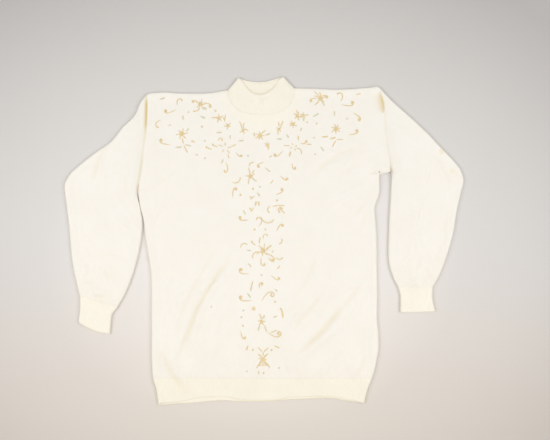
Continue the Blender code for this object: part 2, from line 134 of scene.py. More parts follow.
# Creases of the whole upper layer, so that they run on over a seam. Each is a trough between two
# soft ridges; the bend is how far its middle lies to the left of the line between its ends.
CREASES = (
    # from_x, from_y, to_x, to_y, bend, width, strength
    # From the middle down to the wearer's right hip.
    (-76, -26, -216, -288, -6, 5.6, 1.00),
    (-106, -8, -220, -246, -11, 6.0, 0.45),
    (-246, -256, -176, -362, -9, 6.0, 0.70),
    (-256, -238, -246, -300, -2, 5.0, 0.30),
    (-74, -164, -132, -244, 2, 5.5, 0.28),
    (-122, -310, -82, -365, 3, 5.0, 0.25),
    (-60, 40, -118, -30, -4, 7.0, 0.18),
    # The same on the wearer's left.
    (208, -142, 72, -282, 2, 5.6, 1.00),
    (232, -104, 190, -160, 3, 5.6, 0.50),
    (156, -108, 58, -226, 3, 5.5, 0.55),
    (126, -34, 76, -132, 5, 6.0, 0.38),
    (240, -264, 212, -334, 3, 5.5, 0.45),
    (262, -214, 246, -292, -3, 5.0, 0.25),
    # From the underarms across the chest and down the sides.
    (240, 236, 112, 145, -8, 6.6, 0.50),
    (226, 196, 190, 164, 0, 5.0, 0.32),
    (250, 102, 213, 62, 2, 5.0, 0.40),
    (254, 84, 228, 28, 2, 5.0, 0.30),
    (258, 168, 276, 160, 0, 2.4, 1.10),
    (-240, 118, -258, 48, 4, 6.0, 0.30),
    (-268, 176, -218, 96, 5, 6.5, 0.28),
    (-262, 300, -244, 190, -4, 7.0, 0.20),
    # The sleeves.
    (-360, 238, -416, 132, -4, 6.2, 0.62),
    (-334, 170, -336, 96, 3, 6.0, 0.32),
    (-404, -24, -342, -39, -3, 5.0, 0.34),
    (-434, -94, -410, -100, 0, 4.0, 0.50),
    (-408, -130, -376, -139, 0, 3.6, 0.60),
    (-392, -66, -373, -106, 3, 4.0, 0.30),
    (-420, -60, -432, -86, 2, 4.0, 0.28),
    (404, 228, 440, 128, 6, 6.4, 0.32),
    (440, 128, 398, -72, 14, 7.0, 0.26),
    (304, 156, 386, 162, -5, 4.2, 0.16),
    (380, -60, 399, -103, 2, 4.2, 0.36),
    (344, -70, 352, -106, -2, 4.0, 0.30),
    (452, 176, 470, 150, 0, 4.0, 0.40),
    # Down the middle of the collar.
    (-7, 350, -8, 328, 0, 4.6, 0.55),
)
# Smaller wrinkles, strewn by a seeded draw over patches of the cloth.
WRINKLE_PATCHES = (
    # centre_x, centre_y, reach_x, reach_y, heading, how_many, length, width, height
    (-175, -180, 80, 120, 62, 30, 60, 7.0, 1.05),
    (150, -200, 90, 110, 52, 24, 60, 7.0, 0.85),
    (0, -305, 230, 18, 88, 46, 24, 4.6, 0.75),
    (210, 150, 60, 90, 20, 14, 52, 7.0, 0.65),
    (-215, 160, 60, 110, 75, 14, 52, 8.0, 0.50),
    (0, 60, 190, 150, 80, 22, 80, 12.0, 0.45),
    (-390, 60, 60, 110, 100, 22, 52, 7.0, 0.75),
    (-400, -95, 40, 36, 110, 24, 24, 4.6, 0.80),
    (390, 80, 55, 110, 82, 22, 52, 7.0, 0.75),
    (366, -72, 36, 34, 70, 22, 24, 4.6, 0.80),
    (-340, 210, 40, 60, 60, 10, 44, 7.0, 0.55),
    (350, 230, 40, 50, 120, 10, 44, 7.0, 0.55),
)
WRINKLE_SEED = 11
# The armhole seams, which lie in a groove between the swollen edges of body and sleeve: how deep
# the groove is at each height, and the lens-shaped pocket where the left sleeve turns under.
ARMHOLE_GROOVES = np.array([
    # height_y, right_depth, left_depth, right_shade, left_shade
    (360, 0.0, 0.0, 0.00, 0.00),
    (342, 2.4, 0.6, 0.40, 0.08),
    (326, 3.0, 1.0, 1.00, 0.15),
    (282, 2.6, 0.8, 0.95, 0.12),
    (262, 1.4, 0.5, 0.45, 0.08),
    (225, 1.0, 0.5, 0.20, 0.06),
    (200, 1.1, 0.8, 0.26, 0.14),
    (182, 1.4, 1.2, 0.40, 0.30),
    (160, 1.6, 1.5, 0.36, 0.36),
    (128, 1.2, 0.0, 0.34, 0.00),
    (104, 0.0, 0.0, 0.00, 0.00),
])
TROUGH_DEPTH = 1.6
RIDGE_HEIGHT = 2.8
RIDGE_WIDTH = 1.7  # in widths of its crease's trough
RIDGE_SIDES = ((2.0, 1.0), (-2.1, 0.6))  # how far off each of the two lies, and its share
WRINKLE_REACH = 0.625  # of its length, to each side of a wrinkle's middle
CREASE_SHADE = 0.26  # how far a full trough goes towards the deep folds' warm shade
GROOVE_WIDTH = 2.6
GROOVE_SIDES = (1.5, 0.85)  # how much wider it is on the sleeve and on the body
GROOVE_SHOULDER = 9.0  # how far from the seam its edges stand highest
LENS_X = 279.0  # the pocket's middle
LENS_Y = 330.0
LENS_LEAN = -0.17  # mm sideways for each mm up
LENS_HALF_LENGTH = 25.0
LENS_HALF_WIDTH = 8.8
LENS_DEPTH = 2.4
LENS_SHADE = 0.8
RIM_SHADE = 0.10  # round a folded edge, where the cloth turns from the light
RIM_WIDTH = 2.6
LOWEST_UPPER = 3.5  # where the upper layer would meet the lower one
LOWEST_SHARPNESS = 2.5  # per mm, how sharply a trough flattens out there
HEM_WARM_SHADE = 0.04  # painted warm shade of the plain knit, growing down towards the hem band, whose ribs are warmer
HEM_WARM_SHADE_TOP = -170.0
HEM_BLEND = 0.02  # just above the hem seam more, and just below it less
HEM_BLEND_REACH = 12.0
NECK_WARMTH = 0.035  # how far the plain knit round the neckline is mixed towards the folds' warm shade colour
NECK_FADE = 26.0
NECK_SAMPLES = 41
CUFF_WARMTH = 0.055  # and above the cuffs
CUFF_FADE = 62.0


def smooth_line(at, knots, values):
    """A smooth curve through a table, read at many places at once.

    Between two knots it is the cubic that has the slopes there. A knot's slope is the harmonic
    mean of the slopes on its two sides, or zero where those differ in sign, so that the curve
    never swings past its table.
    """
    step = np.diff(knots)
    slope = np.diff(values) / step
    before, after = slope[:-1], slope[1:]
    same_way = before * after > 0
    mean = np.where(same_way, 2 * before * after / np.where(same_way, before + after, 1), 0)
    tangent = np.concatenate([slope[:1], mean, slope[-1:]])
    left = np.clip(np.searchsorted(knots, at) - 1, 0, len(step) - 1)
    t = np.clip((at - knots[left]) / step[left], 0, 1)
    start = (1 + 2 * t) * (1 - t) ** 2 * values[left] + t * (1 - t) ** 2 * step[left] * tangent[left]
    end = t * t * (3 - 2 * t) * values[left + 1] + t * t * (t - 1) * step[left] * tangent[left + 1]
    return start + end


def smooth_step(value, start, end):
    """Rises from 0 at start to 1 at end, as 3t² − 2t³."""
    t = np.clip((value - start) / (end - start), 0, 1)
    return t * t * (3 - 2 * t)


def bell(distance, width):
    """A bell of height 1: exp(−(distance/width)²)."""
    return np.exp(-((distance / width) ** 2))


def line_distance(line):
    """How far along a line of points each of them lies."""
    return np.concatenate([[0], np.cumsum(np.hypot(*np.diff(line, axis=0).T))])


def chord_line(points, samples):
    """A smooth curve through points: x and y are smooth lines over the distance between them."""
    distance = line_distance(points)
    at = samples * distance[-1]
    return np.stack([smooth_line(at, distance, points[:, axis]) for axis in (0, 1)], axis=-1)


def top_line(upper, samples):
    """The top edge at shares of its length: shoulder, neckline and shoulder, each drawn
    smoothly by itself and then joined."""
    neck = NECKLINES[:, [0, 1 if upper else 2]]
    parts = (
        np.concatenate([RIGHT_SHOULDER, neck[:1]]),
        neck,
        np.concatenate([neck[-1:], LEFT_SHOULDER]),
    )
    line = np.concatenate([chord_line(part, np.linspace(0, 1, 99))[:-1] for part in parts])
    line = np.concatenate([line, LEFT_SHOULDER[-1:]])
    distance = line_distance(line)
    at = samples * distance[-1]
    return np.stack([np.interp(at, distance, line[:, axis]) for axis in (0, 1)], axis=-1)


def side_edges(y):
    """The wearer's right and left edge of the body at a height."""
    heights, right, left = BODY_SIDES[::-1].T
    return smooth_line(y, heights, right), smooth_line(y, heights, left)


def crease_shapes(x, y):
    """The creases' troughs and ridges at a place, each from 0 to 1.

    A trough is its strength times a bell of the distance from the crease's bent line, and the
    ridges are bells too, wider and moved off to both sides. Both fade out along the crease,
    whose line wanders by a few millimetres. Where creases meet, the highest counts.
    """
    wander_x = x + 4.5 * np.sin(y / 31 + 0.7) + 2.5 * np.sin((x + y) / 47)
    wander_y = y + 4.0 * np.sin(x / 36 + 1.9) + 2.0 * np.sin((x - y) / 29)
    troughs = np.zeros(np.shape(x))
    ridges = np.zeros(np.shape(x))
    for from_x, from_y, to_x, to_y, bend, width, strength in CREASES:
        run_x, run_y = to_x - from_x, to_y - from_y
        length = np.hypot(run_x, run_y)
        along = ((wander_x - from_x) * run_x + (wander_y - from_y) * run_y) / length**2
        aside = ((wander_y - from_y) * run_x - (wander_x - from_x) * run_y) / length
        aside = (aside - bend * 4 * along * (1 - along)) / width
        fade = strength * smooth_step(along, -0.06, 0.3) * smooth_step(along, 1.06, 0.68)
        troughs = np.maximum(troughs, fade * bell(aside, 1))
        for off, share in RIDGE_SIDES:
            ridge = share * np.sqrt(fade) * fade**0.3 * bell(aside - off, RIDGE_WIDTH)
            ridges = np.maximum(ridges, ridge)
    return troughs, ridges


def draw_wrinkles():
    """The strewn wrinkles as rows of x, y, direction x and y, length, width and height."""
    draw = np.random.default_rng(WRINKLE_SEED)
    rows = []
    for x, y, reach_x, reach_y, heading, count, length, width, height in WRINKLE_PATCHES:
        turn = np.radians(heading + draw.normal(0, 17, count))
        size = draw.uniform(0.5, 1.4, (3, count))
        middle_x = x + reach_x * draw.uniform(-1, 1, count)
        middle_y = y + reach_y * draw.uniform(-1, 1, count)
        rows.append(np.stack([
            middle_x,
            middle_y,
            np.cos(turn),
            np.sin(turn),
            length * size[0],
            width * size[1],
            height * size[2],
        ], axis=-1))
    return np.concatenate(rows)


WRINKLES = draw_wrinkles()


def wrinkle_height(x, y):
    """What the wrinkles add: a sum of small ridges, each a bell across and a longer one along,
    with its one side lowered by a tanh."""
    height = np.zeros(np.shape(x))
    for middle_x, middle_y, run_x, run_y, length, width, ridge in WRINKLES:
        along = ((x - middle_x) * run_x + (y - middle_y) * run_y) / length
        aside = ((y - middle_y) * run_x - (x - middle_x) * run_y + 5 * along**2) / width
        one_sided = 1 - 0.8 * np.tanh(3 * aside)
        height += ridge * bell(aside, 1) * bell(along, WRINKLE_REACH) * one_sided
    return height


def armhole_shapes(x, y):
    """The grooves along both armhole seams: how far they raise the cloth, and their shade.

    The cloth rises to a shoulder on both sides of the seam and falls to a narrow trough in it.
    """
    heights, *columns = ARMHOLE_GROOVES[::-1].T
    right_depth, left_depth, right_shade, left_shade = [
        smooth_line(y, heights, column) for column in columns
    ]
    height = np.zeros(np.shape(x))
    shade = np.zeros(np.shape(x))
    right_edge, left_edge = side_edges(y)
    for outward, depth, deep in (
        (right_edge - x, right_depth, right_shade),
        (x - left_edge, left_depth, left_shade),
    ):
        width = GROOVE_WIDTH * np.where(outward > 0, *GROOVE_SIDES)
        groove = bell(outward, width)
        shoulders = bell(np.abs(outward) - GROOVE_SHOULDER, GROOVE_SHOULDER)
        height += depth * (0.75 * shoulders - 0.55 * groove)
        shade = np.maximum(shade, deep * groove)
    return height, shade


def lens_shape(x, y):
    """The pocket by the left shoulder: 0 on its pointed outline, rising evenly across it towards
    the sleeve and falling steeply just before the sleeve's edge."""
    half = np.sqrt(np.clip(1 - ((y - LENS_Y) / LENS_HALF_LENGTH) ** 2, 0.0001, 1))
    across = (x - LENS_X - LENS_LEAN * (y - LENS_Y)) / (LENS_HALF_WIDTH * half)
    rise = 0.18 * smooth_step(across, -2.6, -0.4) + 0.82 * smooth_step(across, -0.9, 0.8)
    return rise * smooth_step(across, 1.05, 0.85) * half**0.6


def upper_height(x, y):
    """The upper layer's height over the table: flat, with creases, wrinkles and armholes. It
    stops short of the lower layer as log(1 + exp(height above it)) does."""
    troughs, ridges = crease_shapes(x, y)
    rise = RIDGE_HEIGHT * ridges - TROUGH_DEPTH * troughs
    rise = rise + wrinkle_height(x, y) + armhole_shapes(x, y)[0] - LENS_DEPTH * lens_shape(x, y)
    above = (FLAT_TOP + rise - LOWEST_UPPER) * LOWEST_SHARPNESS
    return LOWEST_UPPER + np.log1p(np.exp(above)) / LOWEST_SHARPNESS


def fold_shade(x, y):
    """How deep in a fold a place lies, from 0 to 1, for the painted warm shade that light between
    the cloth's faces gives it: in the armholes and the pocket, a little in the creases, and
    towards the hem."""
    creased = CREASE_SHADE * crease_shapes(x, y)[0] ** 1.3
    lens = LENS_SHADE * lens_shape(x, y)
    from_seam = y - HEM_SEAM_Y
    low = HEM_WARM_SHADE * smooth_step(y, HEM_WARM_SHADE_TOP, HEM_SEAM_Y)
    low = low + HEM_BLEND * np.sign(from_seam) * bell(from_seam, HEM_BLEND_REACH)
    return np.maximum.reduce([creased, armhole_shapes(x, y)[1], lens]) + low


def rim_shade(distance):
    """The shade round a folded edge, this far in from it, where the cloth turns from the light."""
    return RIM_SHADE * bell(distance, RIM_WIDTH)


def swell(distance):
    """How far the upper layer still rises above its flat level, this far in from a fold."""
    beyond = np.maximum(distance - FOLD_ROUND, 0)
    return (FOLD_HEIGHT - FLAT_TOP) * bell(beyond, FOLD_SWELL)


def round_share(distance):
    """0 at a folded edge and 1 where the cloth lies level again, as a quarter of a circle."""
    return np.sqrt(1 - (1 - np.clip(distance / FOLD_ROUND, 0, 1)) ** 2)


def seam_dip(distance):
    """How far a sewn edge is drawn in, this far from it."""
    return SEAM_DIP * bell(distance, SEAM_WIDTH)


def edge_spacing(length, gap):
    """Places from 0 to 1 along a length, close together at both ends."""
    first = FOLD_PLACES[-1]
    middle = np.linspace(first, length - first, round((length - 2 * first) / gap) + 1)
    places = np.concatenate([FOLD_PLACES[:-1], middle, (length - FOLD_PLACES)[-2::-1]])
    return places / length


def body_edges(x, y, top_x, top_y):
    """The distances in from the right side, the left one and the top edge, each with the share
    of that edge that is folded and not sewn. The top edge's place belongs to each point."""
    right, left = side_edges(y)
    right_low, right_high = RIGHT_UNDERARM_Y + RIGHT_UNDERARM_BLEND * np.array([-1, 1])
    left_low, left_high = LEFT_UNDERARM_Y + LEFT_UNDERARM_BLEND * np.array([-1, 1])
    outside_neck = np.maximum(NECK_LEFT_X - top_x, top_x - NECK_RIGHT_X)
    return (
        (x - right, smooth_step(y, right_high, right_low)),
        (left - x, smooth_step(y, left_high, left_low)),
        (top_y - y, np.broadcast_to(smooth_step(outside_neck, *FOOT_BLEND), y.shape)),
    )


def body_grid(upper, gap):
    """A panel's points from the hem seam up to the shoulders and the neckline.

    The columns end at even distances along the top edge, and the rows climb from the hem seam to
    it. Across, each row runs from side to side: by even shares low down, and over the top half
    more and more by the places where the columns end. It gives x, y and the body's edges there.
    """
    neck = NECKLINES[:, [0, 1 if upper else 2]]
    top_points = np.concatenate([RIGHT_SHOULDER, neck, LEFT_SHOULDER])
    share = edge_spacing(line_distance(top_points)[-1], gap)
    top_x, top_y = top_line(upper, share).T
    up = edge_spacing(top_y.mean() - HEM_SEAM_Y, gap)
    y = HEM_SEAM_Y + SEAM / 2 + up[:, None] * (top_y - HEM_SEAM_Y - SEAM / 2)
    right, left = side_edges(y)
    top_right, top_left = side_edges(top_y)
    top_share = (top_x - top_right) / (top_left - top_right)
    top_share -= top_share[0] * smooth_step(share, 0.1, 0)
    top_share -= (top_share[-1] - 1) * smooth_step(share, 0.9, 1)
    follow = smooth_step(up, 0.45, 1.0)[:, None]
    x = right + (left - right) * (share + follow * (top_share - share))
    return x, y, body_edges(x, y, top_x, top_y)


def show(name, mesh, material):
    """An object of a mesh, smooth and in the scene."""
    mesh.shade_smooth()
    mesh.materials.append(material)
    piece = bpy.data.objects.new(name, mesh)
    bpy.context.scene.collection.objects.link(piece)
    return piece


def grid_piece(name, points, stitches, material, closed=False, downward=False, shade=None):
    """A cloth piece from a grid of points, [row, column, xyz], in millimetres.

    Each quad joins a point to its neighbours, and closed joins the last column to the first.
    The stitches grid says how far each point lies across and along the knitting, and has one
    column more on a closed piece. Shade says how deep in a fold each point lies. The wall is
    laid inside the grid by Solidify.
    """
    rows, columns = points.shape[:2]
    across = columns if closed else columns - 1
    row, column = np.meshgrid(np.arange(rows - 1), np.arange(across), indexing="ij")
    corner_row = np.stack([row + step for step in (0, 0, 1, 1)], axis=-1).reshape(-1, 4)
    corner_column = np.stack([column + step for step in (0, 1, 1, 0)], axis=-1).reshape(-1, 4)
    if downward:
        corner_row, corner_column = corner_row[:, ::-1], corner_column[:, ::-1]
    faces = corner_row * columns + corner_column % columns
    mesh = bpy.data.meshes.new(name)
    mesh.from_pydata((points.reshape(-1, 3) * MM).tolist(), [], faces.tolist())
    places = stitches[corner_row, corner_column].astype(np.float32)
    mesh.uv_layers.new(name="stitches").data.foreach_set("uv", places.ravel())
    if shade is not None:
        depth = mesh.attributes.new("fold_shade", "FLOAT", "POINT")
        depth.data.foreach_set("value", shade.astype(np.float32).ravel())
    piece = show(name, mesh, material)
    wall = piece.modifiers.new("wall", "SOLIDIFY")
    wall.thickness = CLOTH * MM
    wall.offset = -1
    return piece


def linear(hex_colour):
    """An sRGB hex colour as linear red, green, blue and alpha."""
    srgb = np.array([int(hex_colour[i:i + 2], 16) for i in (1, 3, 5)]) / 255
    rgb = np.where(srgb <= 0.04045, srgb / 12.92, ((srgb + 0.055) / 1.055) ** 2.4)
    return (*rgb.tolist(), 1.0)


def connect(tree, node, inputs):
    """Gives a node's inputs, by name or number, values or other nodes' outputs."""
    for name, value in inputs.items():
        if isinstance(value, bpy.types.NodeSocket):
            tree.links.new(value, node.inputs[name])
        else:
            node.inputs[name].default_value = value


def add(tree, kind, inputs=None, **settings):
    """Adds a node with its settings, and its inputs' values or links."""
    node = tree.nodes.new(kind)
    for name, value in settings.items():
        setattr(node, name, value)
    connect(tree, node, inputs or {})
    return node


def maths(tree, operation, *values):
    """The result of an operation on values or other nodes' outputs."""
    return add(tree, "ShaderNodeMath", dict(enumerate(values)), operation=operation).outputs[0]


def vector_maths(tree, operation, inputs, output="Vector"):
    """The same on vectors; the output is Value where it is a single number."""
    return add(tree, "ShaderNodeVectorMath", inputs, operation=operation).outputs[output]


def remapped(tree, *values, **settings):
    """A value moved from one range to another: the value, then the ends of both ranges."""
    return add(tree, "ShaderNodeMapRange", dict(enumerate(values)), **settings).outputs[0]


def mixed(tree, share, first, second):
    """A colour between two, each a hex colour or another node's output."""
    first, second = [linear(end) if isinstance(end, str) else end for end in (first, second)]
    return add(tree, "ShaderNodeMix", {0: share, 6: first, 7: second}, data_type="RGBA").outputs[2]


def noise(tree, place, scale, detail, roughness=0.5):
    """A cloudy pattern, mostly from 0.3 to 0.7."""
    inputs = {"Vector": place, "Scale": scale, "Detail": detail, "Roughness": roughness}
    return add(tree, "ShaderNodeTexNoise", inputs).outputs[0]


def bumped(tree, strength, depth, height):
    """The surface's normal, tilted by a height of this depth in millimetres."""
    inputs = {"Strength": strength, "Distance": depth * MM, "Height": height}
    return add(tree, "ShaderNodeBump", inputs).outputs[0]


def new_finish(name):
    """A new material, its node tree, and where on the object a point lies."""
    finish = bpy.data.materials.new(name)
    finish.use_nodes = True
    tree = finish.node_tree
    return finish, tree, add(tree, "ShaderNodeTexCoord").outputs["Object"]


def set_surface(tree, inputs):
    """Gives the material's own shader values or other nodes' outputs."""
    connect(tree, tree.nodes["Principled BSDF"], inputs)


FULL_TURN = 2 * np.pi
FOLD_SHADE_COLOUR = "#D9C486"  # the painted warm shade that the knit turns to deep in a fold
SPOT_HEIGHT = 5.0  # over the table


def knit_finish(name, yarn, gap, wale, course, spots=()):
    """Plain knit: V-shaped stitches from two legs that lean towards the middle of each wale.

    Across a wale the legs stand at a quarter and three quarters of its width, as |sin|; along it
    the loops repeat once a course, later towards the wale's edges by half a course. The height
    drives the bump and shows the darker gap between the loops. A fine noise is the yarn's fuzz
    and a wide one the uneven shade of a worn knit. The fold_shade attribute mixes in the folds'
    painted warm shade, and each spot is a place in millimetres, a radius, a share and a colour.
    """
    cloth, tree, body = new_finish(name)
    place = add(tree, "ShaderNodeUVMap", uv_map="stitches").outputs[0]
    across, along, _ = add(tree, "ShaderNodeSeparateXYZ", {0: place}).outputs
    within = maths(tree, "FRACT", maths(tree, "DIVIDE", across, wale))
    aside = maths(tree, "ABSOLUTE", maths(tree, "SUBTRACT", within, 0.5))
    leg = maths(tree, "SINE", maths(tree, "MULTIPLY", aside, FULL_TURN))
    leaning = maths(tree, "ADD", aside, maths(tree, "DIVIDE", along, course))
    loop = maths(tree, "SINE", maths(tree, "MULTIPLY", leaning, FULL_TURN))
    stitch = maths(tree, "MULTIPLY", leg, maths(tree, "MULTIPLY_ADD", loop, 0.25, 0.75))
    fuzz = noise(tree, body, 1100.0, 3.0, 0.7)
    worn = remapped(tree, noise(tree, body, 16.0, 4.0, 0.55), 0.35, 0.7, 0.0, 0.16)
    gaps = remapped(tree, stitch, 0.0, 0.9, 0.55, 0.0)
    colour = mixed(tree, maths(tree, "ADD", gaps, worn), yarn, gap)
    # painted shade: the fold_shade attribute mixes the knit towards the warm fold shade
    folded = add(tree, "ShaderNodeAttribute", attribute_name="fold_shade").outputs["Fac"]
    colour = mixed(tree, folded, colour, FOLD_SHADE_COLOUR)
    for (x, y), radius, share, spot_colour in spots:
        middle = (x * MM, y * MM, SPOT_HEIGHT * MM)
        away = vector_maths(tree, "DISTANCE", {0: body, 1: middle}, "Value")
        ends = (0.4 * radius * MM, radius * MM, share, 0.0)
        spot = remapped(tree, away, *ends, interpolation_type="SMOOTHSTEP")
        colour = mixed(tree, spot, colour, spot_colour)
    set_surface(tree, {
        "Base Color": colour,
        "Roughness": remapped(tree, fuzz, 0.3, 0.7, 0.82, 0.96),
        "Normal": bumped(tree, 0.5, 0.3, maths(tree, "MULTIPLY_ADD", fuzz, 0.5, stitch)),
        "Specular IOR Level": 0.25,
        "Sheen Weight": 0.22,
        "Sheen Roughness": 0.6,
        "Sheen Tint": linear("#FFF8EA"),
    })
    return cloth


# Cream wool and acrylic, machine knitted at about twelve stitches to the inch: matt, with a soft
# halo at grazing angles, and a slightly darker line between the wales.
# It has a faint yellow stain on the left sleeve and a grey speck low on the front's right, is a
# little yellower round the neck, and a brown spot where the left underarm's seams meet is
# painted shadow in the small fold there.
fine_knit = knit_finish(
    "fine_gauge_cream_knit",
    "#F5F3EF",
    "#EAE3D3",
    wale=2.1,
    course=1.6,
    spots=(
        ((425, 214), 11.0, 0.30, "#E8D49A"),
        ((451, 168), 9.0, 0.22, "#E8D49A"),
        ((-126, -157), 2.8, 0.55, "#A69C92"),
        # painted shadow in the small fold where the left underarm's seams meet
        ((276, 166), 3.4, 0.5, "#8F8064"),
        ((-7, 352), 125.0, 0.6, "#F8F3E3"),
    ),
)


def front_height(x, y, edges):
    """The front's outer height: the upper layer's, raised beside the folds and bent down round
    them to their middle, and dipped along the sewn edges."""
    height = upper_height(x, y)
    level = FLAT_TOP + np.maximum.reduce(
        [height - FLAT_TOP] + [folded * swell(distance) for distance, folded in edges]
    )
    for distance, folded in edges:
        bent = folded * (1 - round_share(distance))
        level = level - bent * (level - FOLD_MIDDLE - SEAM / 2)
        level = level - (1 - folded) * seam_dip(distance)
    return level


front_x, front_y, front_edges = body_grid(True, FRONT_GRID)
front_z = front_height(front_x, front_y, front_edges)
front_points = np.stack([front_x, front_y, front_z], axis=-1)
front_stitches = np.stack([front_x, front_y], axis=-1)
neck_line = chord_line(NECKLINES[:, :2], np.linspace(0, 1, NECK_SAMPLES))
neck_near = np.hypot(front_x[..., None] - neck_line[:, 0], front_y[..., None] - neck_line[:, 1])
front_neck = NECK_WARMTH * bell(neck_near.min(axis=-1), NECK_FADE)
front_rims = sum(folded * rim_shade(distance) for distance, folded in front_edges)
front_shade = fold_shade(front_x, front_y) + front_neck + front_rims
knit_front = grid_piece(
    "knit_front", front_points, front_stitches, fine_knit, shade=front_shade
)
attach(knit_front, "root")
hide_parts("front_panel")

# The back panel. The same knit, cut with a higher neckline, lying flat on the table. Only its
# underside could be seen, where a few shallow creases lift it off the table.

BACK_GRID = 6.5
BACK_LIFT = 0.55  # of the height that such wrinkles have on the front
BACK_EDGE = 12.0  # how far in from its edges the creases fade out

back_x, back_y, back_edges = body_grid(False, BACK_GRID)
back_z = BACK_LIFT * np.maximum(wrinkle_height(-back_x, back_y), 0)
for back_distance, back_folded in back_edges:
    back_z = back_z * (1 - bell(back_distance, BACK_EDGE))
for back_distance, back_folded in back_edges:
    back_bent = back_folded * (1 - round_share(back_distance))
    back_z = back_z + back_bent * (FOLD_MIDDLE - SEAM / 2 - back_z)
back_points = np.stack([back_x, back_y, back_z], axis=-1)
back_stitches = np.stack([-back_x, back_y], axis=-1)
knit_back = grid_piece("knit_back", back_points, back_stitches, fine_knit, downward=True)
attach(knit_back, "root")
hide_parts("back_panel")

# The sleeves. Long tubes of the same knit, sewn into dropped armholes and folded down beside the
# body, so that each turns at the elbow and its upper layer bunches a little above the cuff.

SLEEVE_GRID = 3.6  # between the rows along the arm
SLEEVE_COLUMNS = 62  # of the upper layer, between its folds
SLEEVE_BACK_COLUMNS = 30
ARMHOLE_FADE = 2  # rows of the table over which the armhole's curve straightens
UNDERARM_STRAIGHT = 0.12  # of the armhole's length, over which its curve sets in
UNDERARM_CLEAR = 3.0  # how far over the underarm the body's edge is an armhole again
LINE_SAMPLES = 61
LINE_SHARES = np.linspace(0, 1, LINE_SAMPLES)

RIGHT_SLEEVE = np.array([
    # inner_x, inner_y, outer_x, outer_y: the two folds, from the armhole to the cuff
    (-302.4, 122.4, -281.2, 350.4),
    (-303.0, 115.0, -295.2, 332.4),
    (-302.9, 108.0, -308.4, 302.0),
    (-301.6, 100.8, -338.0, 272.4),
    (-299.4, 93.0, -364.8, 239.4),
    (-297.2, 84.0, -402.0, 212.6),
    (-295.2, 74.0, -441.0, 182.0),
    (-293.2, 64.0, -468.0, 155.0),
    (-291.4, 54.0, -477.6, 132.0),
    (-290.8, 38.4, -473.0, 91.2),
    (-294.2, 2.4, -466.4, 36.0),
    (-305.4, -50.4, -462.0, -16.8),
    (-318.8, -93.6, -456.0, -64.8),
    (-331.8, -124.8, -447.6, -103.2),
    (-350.4, -158.4, -440.4, -132.0),
])
LEFT_SLEEVE = np.array([
    # inner_x, inner_y, outer_x, outer_y
    (305.6, 163.0, 276.4, 367.4),
    (306.2, 153.6, 297.6, 344.4),
    (305.5, 144.0, 327.6, 316.8),
    (304.6, 132.0, 358.8, 289.2),
    (303.8, 120.0, 391.2, 258.6),
    (303.2, 105.6, 422.6, 225.0),
    (302.4, 91.2, 452.0, 194.4),
    (301.2, 74.4, 471.0, 169.2),
    (300.0, 55.2, 477.6, 144.6),
    (299.3, 31.2, 470.6, 114.6),
    (298.1, 2.4, 461.0, 69.6),
    (297.6, -26.4, 453.2, 21.6),
    (299.4, -52.8, 439.4, -28.8),
    (307.0, -81.6, 422.4, -75.6),
    (320.6, -110.4, 403.9, -110.4),
])


def closer_rows(table, gap):
    """A table's rows, drawn smoothly and closer, with the table row that each lies at and its
    distance down the arm's middle."""
    steps = np.diff(table[:, :4], axis=0)
    step = (np.hypot(steps[:, 0], steps[:, 1]) + np.hypot(steps[:, 2], steps[:, 3])) / 2
    distance = np.concatenate([[0], np.cumsum(step)])
    at = edge_spacing(distance[-1], gap) * distance[-1]
    rows = np.stack([smooth_line(at, distance, column) for column in table.T], axis=-1)
    return rows, smooth_line(at, distance, np.arange(len(table)) * 1.0), at


def line_width(lines):
    """The length of each row's line of points."""
    return np.hypot(*np.moveaxis(np.diff(lines, axis=1), 2, 0)).sum(axis=1)


def layer_places(lines, middles):
    """Where a layer's columns lie: close together round both folds, and at shares between.

    It gives x and y, each point's distance along its row, and its reach from the nearer fold.
    """
    width = line_width(lines)[:, None]
    near = np.broadcast_to(FOLD_PLACES, (len(width), FOLD_TURNS))
    middle = FOLD_ROUND + middles * (width - 2 * FOLD_ROUND)
    distance = np.concatenate([near, middle, width - near[:, ::-1]], axis=1)
    spot = distance / width * (lines.shape[1] - 1)
    before = np.clip(spot.astype(int), 0, lines.shape[1] - 2)
    share = (spot - before)[..., None]
    row = np.arange(len(lines))[:, None]
    place = lines[row, before] * (1 - share) + lines[row, before + 1] * share
    return place[..., 0], place[..., 1], distance, np.minimum(distance, width - distance)


def straight_lines(rows):
    """A line of points for each row, from its inner to its outer fold."""
    first, last = rows[:, None, :2], rows[:, None, 2:4]
    return first + LINE_SHARES[:, None] * (last - first)


def even_shares(count):
    """Evenly spaced shares between two folds."""
    return np.linspace(0, 1, count + 2)[1:-1]


def flat_tube(
    name, material, upper, lower, along, drop, lift=0.0, turned=False, held_up=0.0, shades=(0, 0)
):
    """A flattened tube: its upper layer from fold to fold, then its lower layer back again.

    Upper and lower are places as layer_places gives them. The upper layer's height is the
    cloth's own and the swell beside its folds, less the drop. The lower layer lies on the
    table, or above it by the lift. Both bend as a quarter ellipse to the middle of each fold,
    the upper one less where what it is sewn to holds it up. The shades are added to each layer.
    """
    x, y, distance, reach = upper
    swollen = swell(reach) * (1 - held_up)
    level = FLAT_TOP + np.maximum(upper_height(x, y) - FLAT_TOP, swollen) - drop
    bent = (1 - round_share(reach)) * (1 - held_up)
    z = FOLD_MIDDLE + (1 - bent) * (level - FOLD_MIDDLE)
    low_x, low_y, low_distance, low_reach = [part[:, -2:0:-1] for part in lower]
    low_z = FOLD_MIDDLE + round_share(low_reach) * (lift - FOLD_MIDDLE)
    points = np.concatenate([
        np.stack([x, y, z], axis=-1),
        np.stack([low_x, low_y, low_z], axis=-1),
    ], axis=1)
    width = distance[:, -1:]
    across = np.concatenate([distance, 2 * width - low_distance, 2 * width], axis=1) - width / 2
    stitches = np.stack([across, np.broadcast_to(along[:, None], across.shape)], axis=-1)
    low_shade = shades[1] + np.zeros(low_x.shape)
    shade = np.concatenate([fold_shade(x, y) + rim_shade(reach) + shades[0], low_shade], axis=1)
    return grid_piece(name, points, stitches, material, True, turned, shade)


